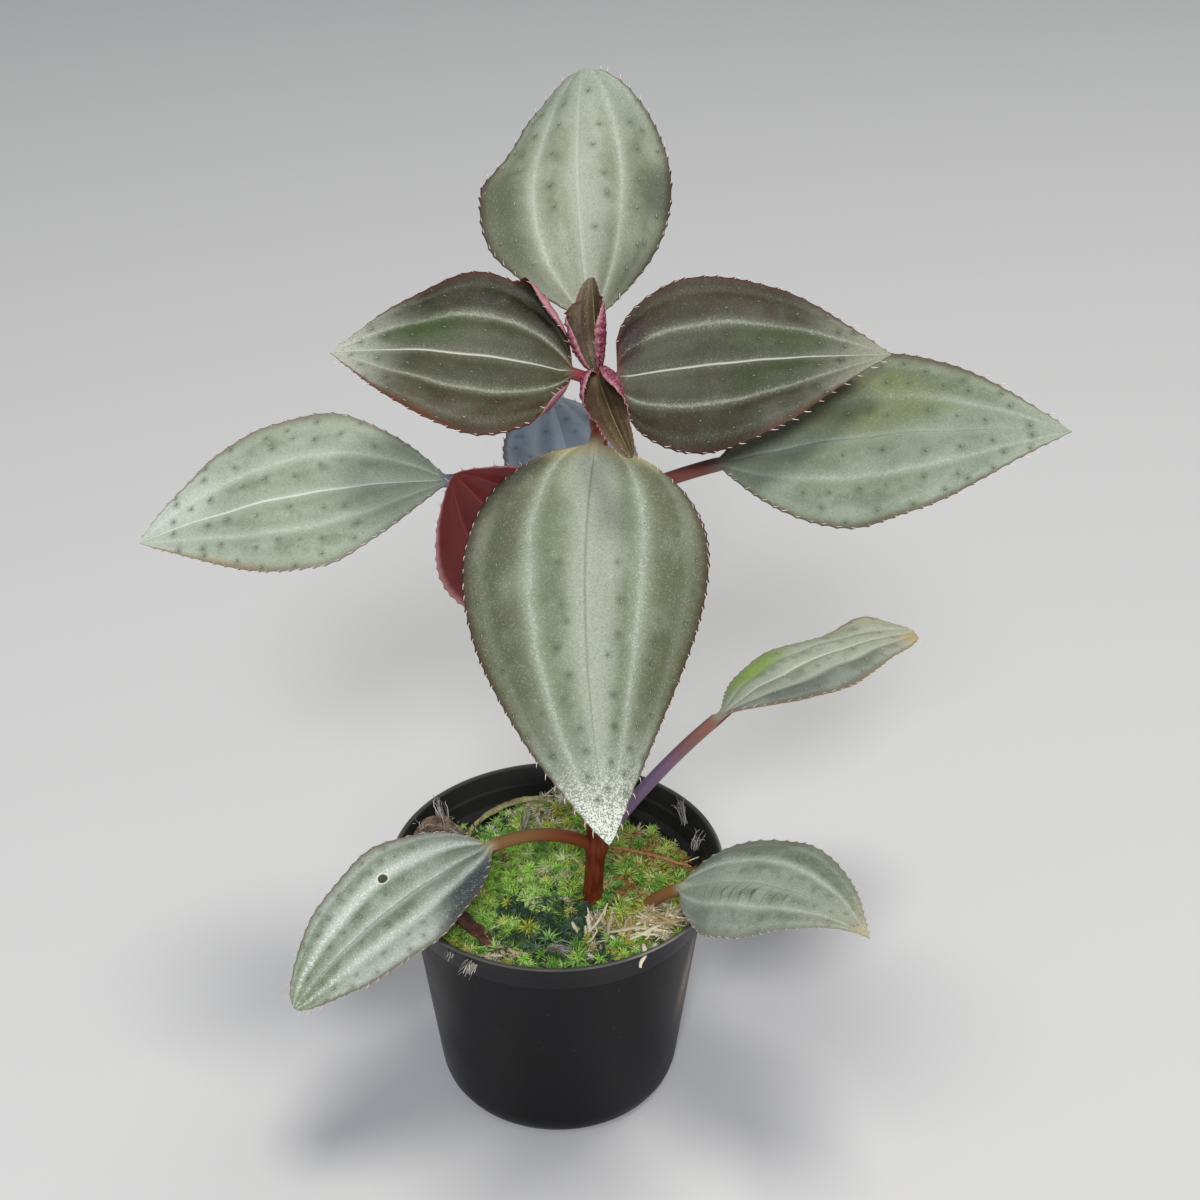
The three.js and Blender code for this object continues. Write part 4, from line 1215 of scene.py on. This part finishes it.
def makeStraw():
    # Pale straw-like fibres at the front right, one over the rim, and loose ones all round
    rand = random.Random(7)
    bm = bmesh.new()
    addLayers(bm)
    bundleX, bundleY = strawShape["bundleAt"]
    for i in range(strawShape["bundleCount"]):
        x, y = rand.gauss(bundleX, 4.0), rand.gauss(bundleY, 2.6)
        x, y = (x, y) if math.hypot(x, y) < 29 else (19.0, -15.0)
        heading = math.radians(rand.choice((15, 200, 60, -20)) + rand.uniform(-25, 25))
        reach, lift = rand.uniform(2.0, 4.6), rand.uniform(0.4, 1.6)
        step = Vector((math.cos(heading), math.sin(heading), rand.uniform(-0.2, 0.25))) * reach
        layStraw(bm, x, y, lift, step, rand.uniform(0.6, 1.1), 0.4, rand)
    chipsX, chipsY = strawShape["chipsAt"]
    for i in range(strawShape["chipsCount"]):
        x, y, lift = rand.gauss(chipsX, 1.6), rand.gauss(chipsY, 2.4), rand.uniform(0.6, 1.8)
        step = Vector((rand.uniform(-0.6, 0.6), rand.uniform(-0.3, 1.0), rand.uniform(0.2, 0.7))) * 2.2
        layStraw(bm, x, y, lift, step, rand.uniform(0.5, 1.3), 0.4, rand)
    leftX, leftY = strawShape["leftAt"]
    for i in range(strawShape["leftCount"]):
        x, y, lift = rand.gauss(leftX, 1.8), rand.gauss(leftY, 0.9), rand.uniform(0.6, 1.6)
        step = Vector((rand.uniform(-0.9, 0.9), rand.uniform(-0.4, 0.4), rand.uniform(-0.3, 0.4))) * 2.0
        layStraw(bm, x, y, lift, step, rand.uniform(0.6, 1.3), 0.4, rand)
    makeStrand(bm, *(Vector(point) for point in strawShape["hanging"]), 1.1, 0.6, 0.9, rand)
    for i in range(strawShape["looseCount"]):
        angle, r = rand.uniform(0, 2 * math.pi), strawShape["looseReach"] * math.sqrt(rand.random())
        heading, reach = rand.uniform(0, 2 * math.pi), rand.uniform(1.0, 2.6)
        lift = rand.uniform(0.2, 0.9)
        step = Vector((math.cos(heading), math.sin(heading), rand.uniform(-0.3, 0.3))) * reach
        x, y = r * math.cos(angle), r * math.sin(angle)
        layStraw(bm, x, y, lift, step, rand.uniform(0.2, 0.45), 0.2, rand)
    finishPiece(bm, "straw", [dryMaterial("straw", "#b29a66", "#f4eac6")], "dry_matter")


def makeFluff():
    # Grey fibres that hang over the rim at the front left and stand at the wall at the right
    rand = random.Random(11)
    bm = bmesh.new()
    addLayers(bm)
    tufts = [
        (Vector((-14.6, -27.6, 51.0)), Vector((-17.4, -31.2, 50.6)), 30),
        (Vector((-19.5, -25.4, 51.0)), Vector((-20.6, -27.6, 51.4)), 12),
        (Vector((-25.0, 15.5, 49.0)), Vector((-26.3, 19.6, 55.0)), 14),
        (Vector((27.5, 17.0, 50.0)), Vector((26.4, 17.2, 56.0)), 18),
        (Vector((29.2, 8.5, 49.5)), Vector((29.8, 9.0, 53.0)), 16),
        (Vector((-8.0, 16.0, 49.0)), Vector((-7.0, 16.5, 52.6)), 10),
        (Vector((-1.5, -24.5, 50.4)), Vector((2.5, -27.0, 52.0)), 26),
    ]
    fuzzy = [v.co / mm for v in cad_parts["dead_leaf_curled"].data.vertices if v.normal.z > 0.2]
    tufts += [(at, at + Vector((rand.uniform(-1, 1), rand.uniform(-1, 1), 0.7)), 2) for at in fuzzy[::4]]
    for foot, tip, count in tufts:
        reach = (tip - foot).length
        for i in range(count):
            start = foot + Vector((rand.gauss(0, 0.5), rand.gauss(0, 0.5), 0))
            end = tip + Vector((rand.gauss(0, 0.8), rand.gauss(0, 0.6), rand.gauss(0, 0.9)))
            middle = start.lerp(end, 0.5) + Vector((rand.gauss(0, 0.5), rand.gauss(0, 0.5), 0.35 * reach))
            makeStrand(bm, start, middle, end, rand.uniform(0.12, 0.3), 0.12, rand.random(), rand)
    finishPiece(bm, "fluff", [dryMaterial("grey fibre", "#6f685e", "#c9c2b4")], "dry_matter")


for name, kind in dryPieces.items():
    makeDryPiece(name, kind)
makeDryStalk()
makeStraw()
makeFluff()
print("dry matter ready")

bpy.data.meshes.remove(scratch)
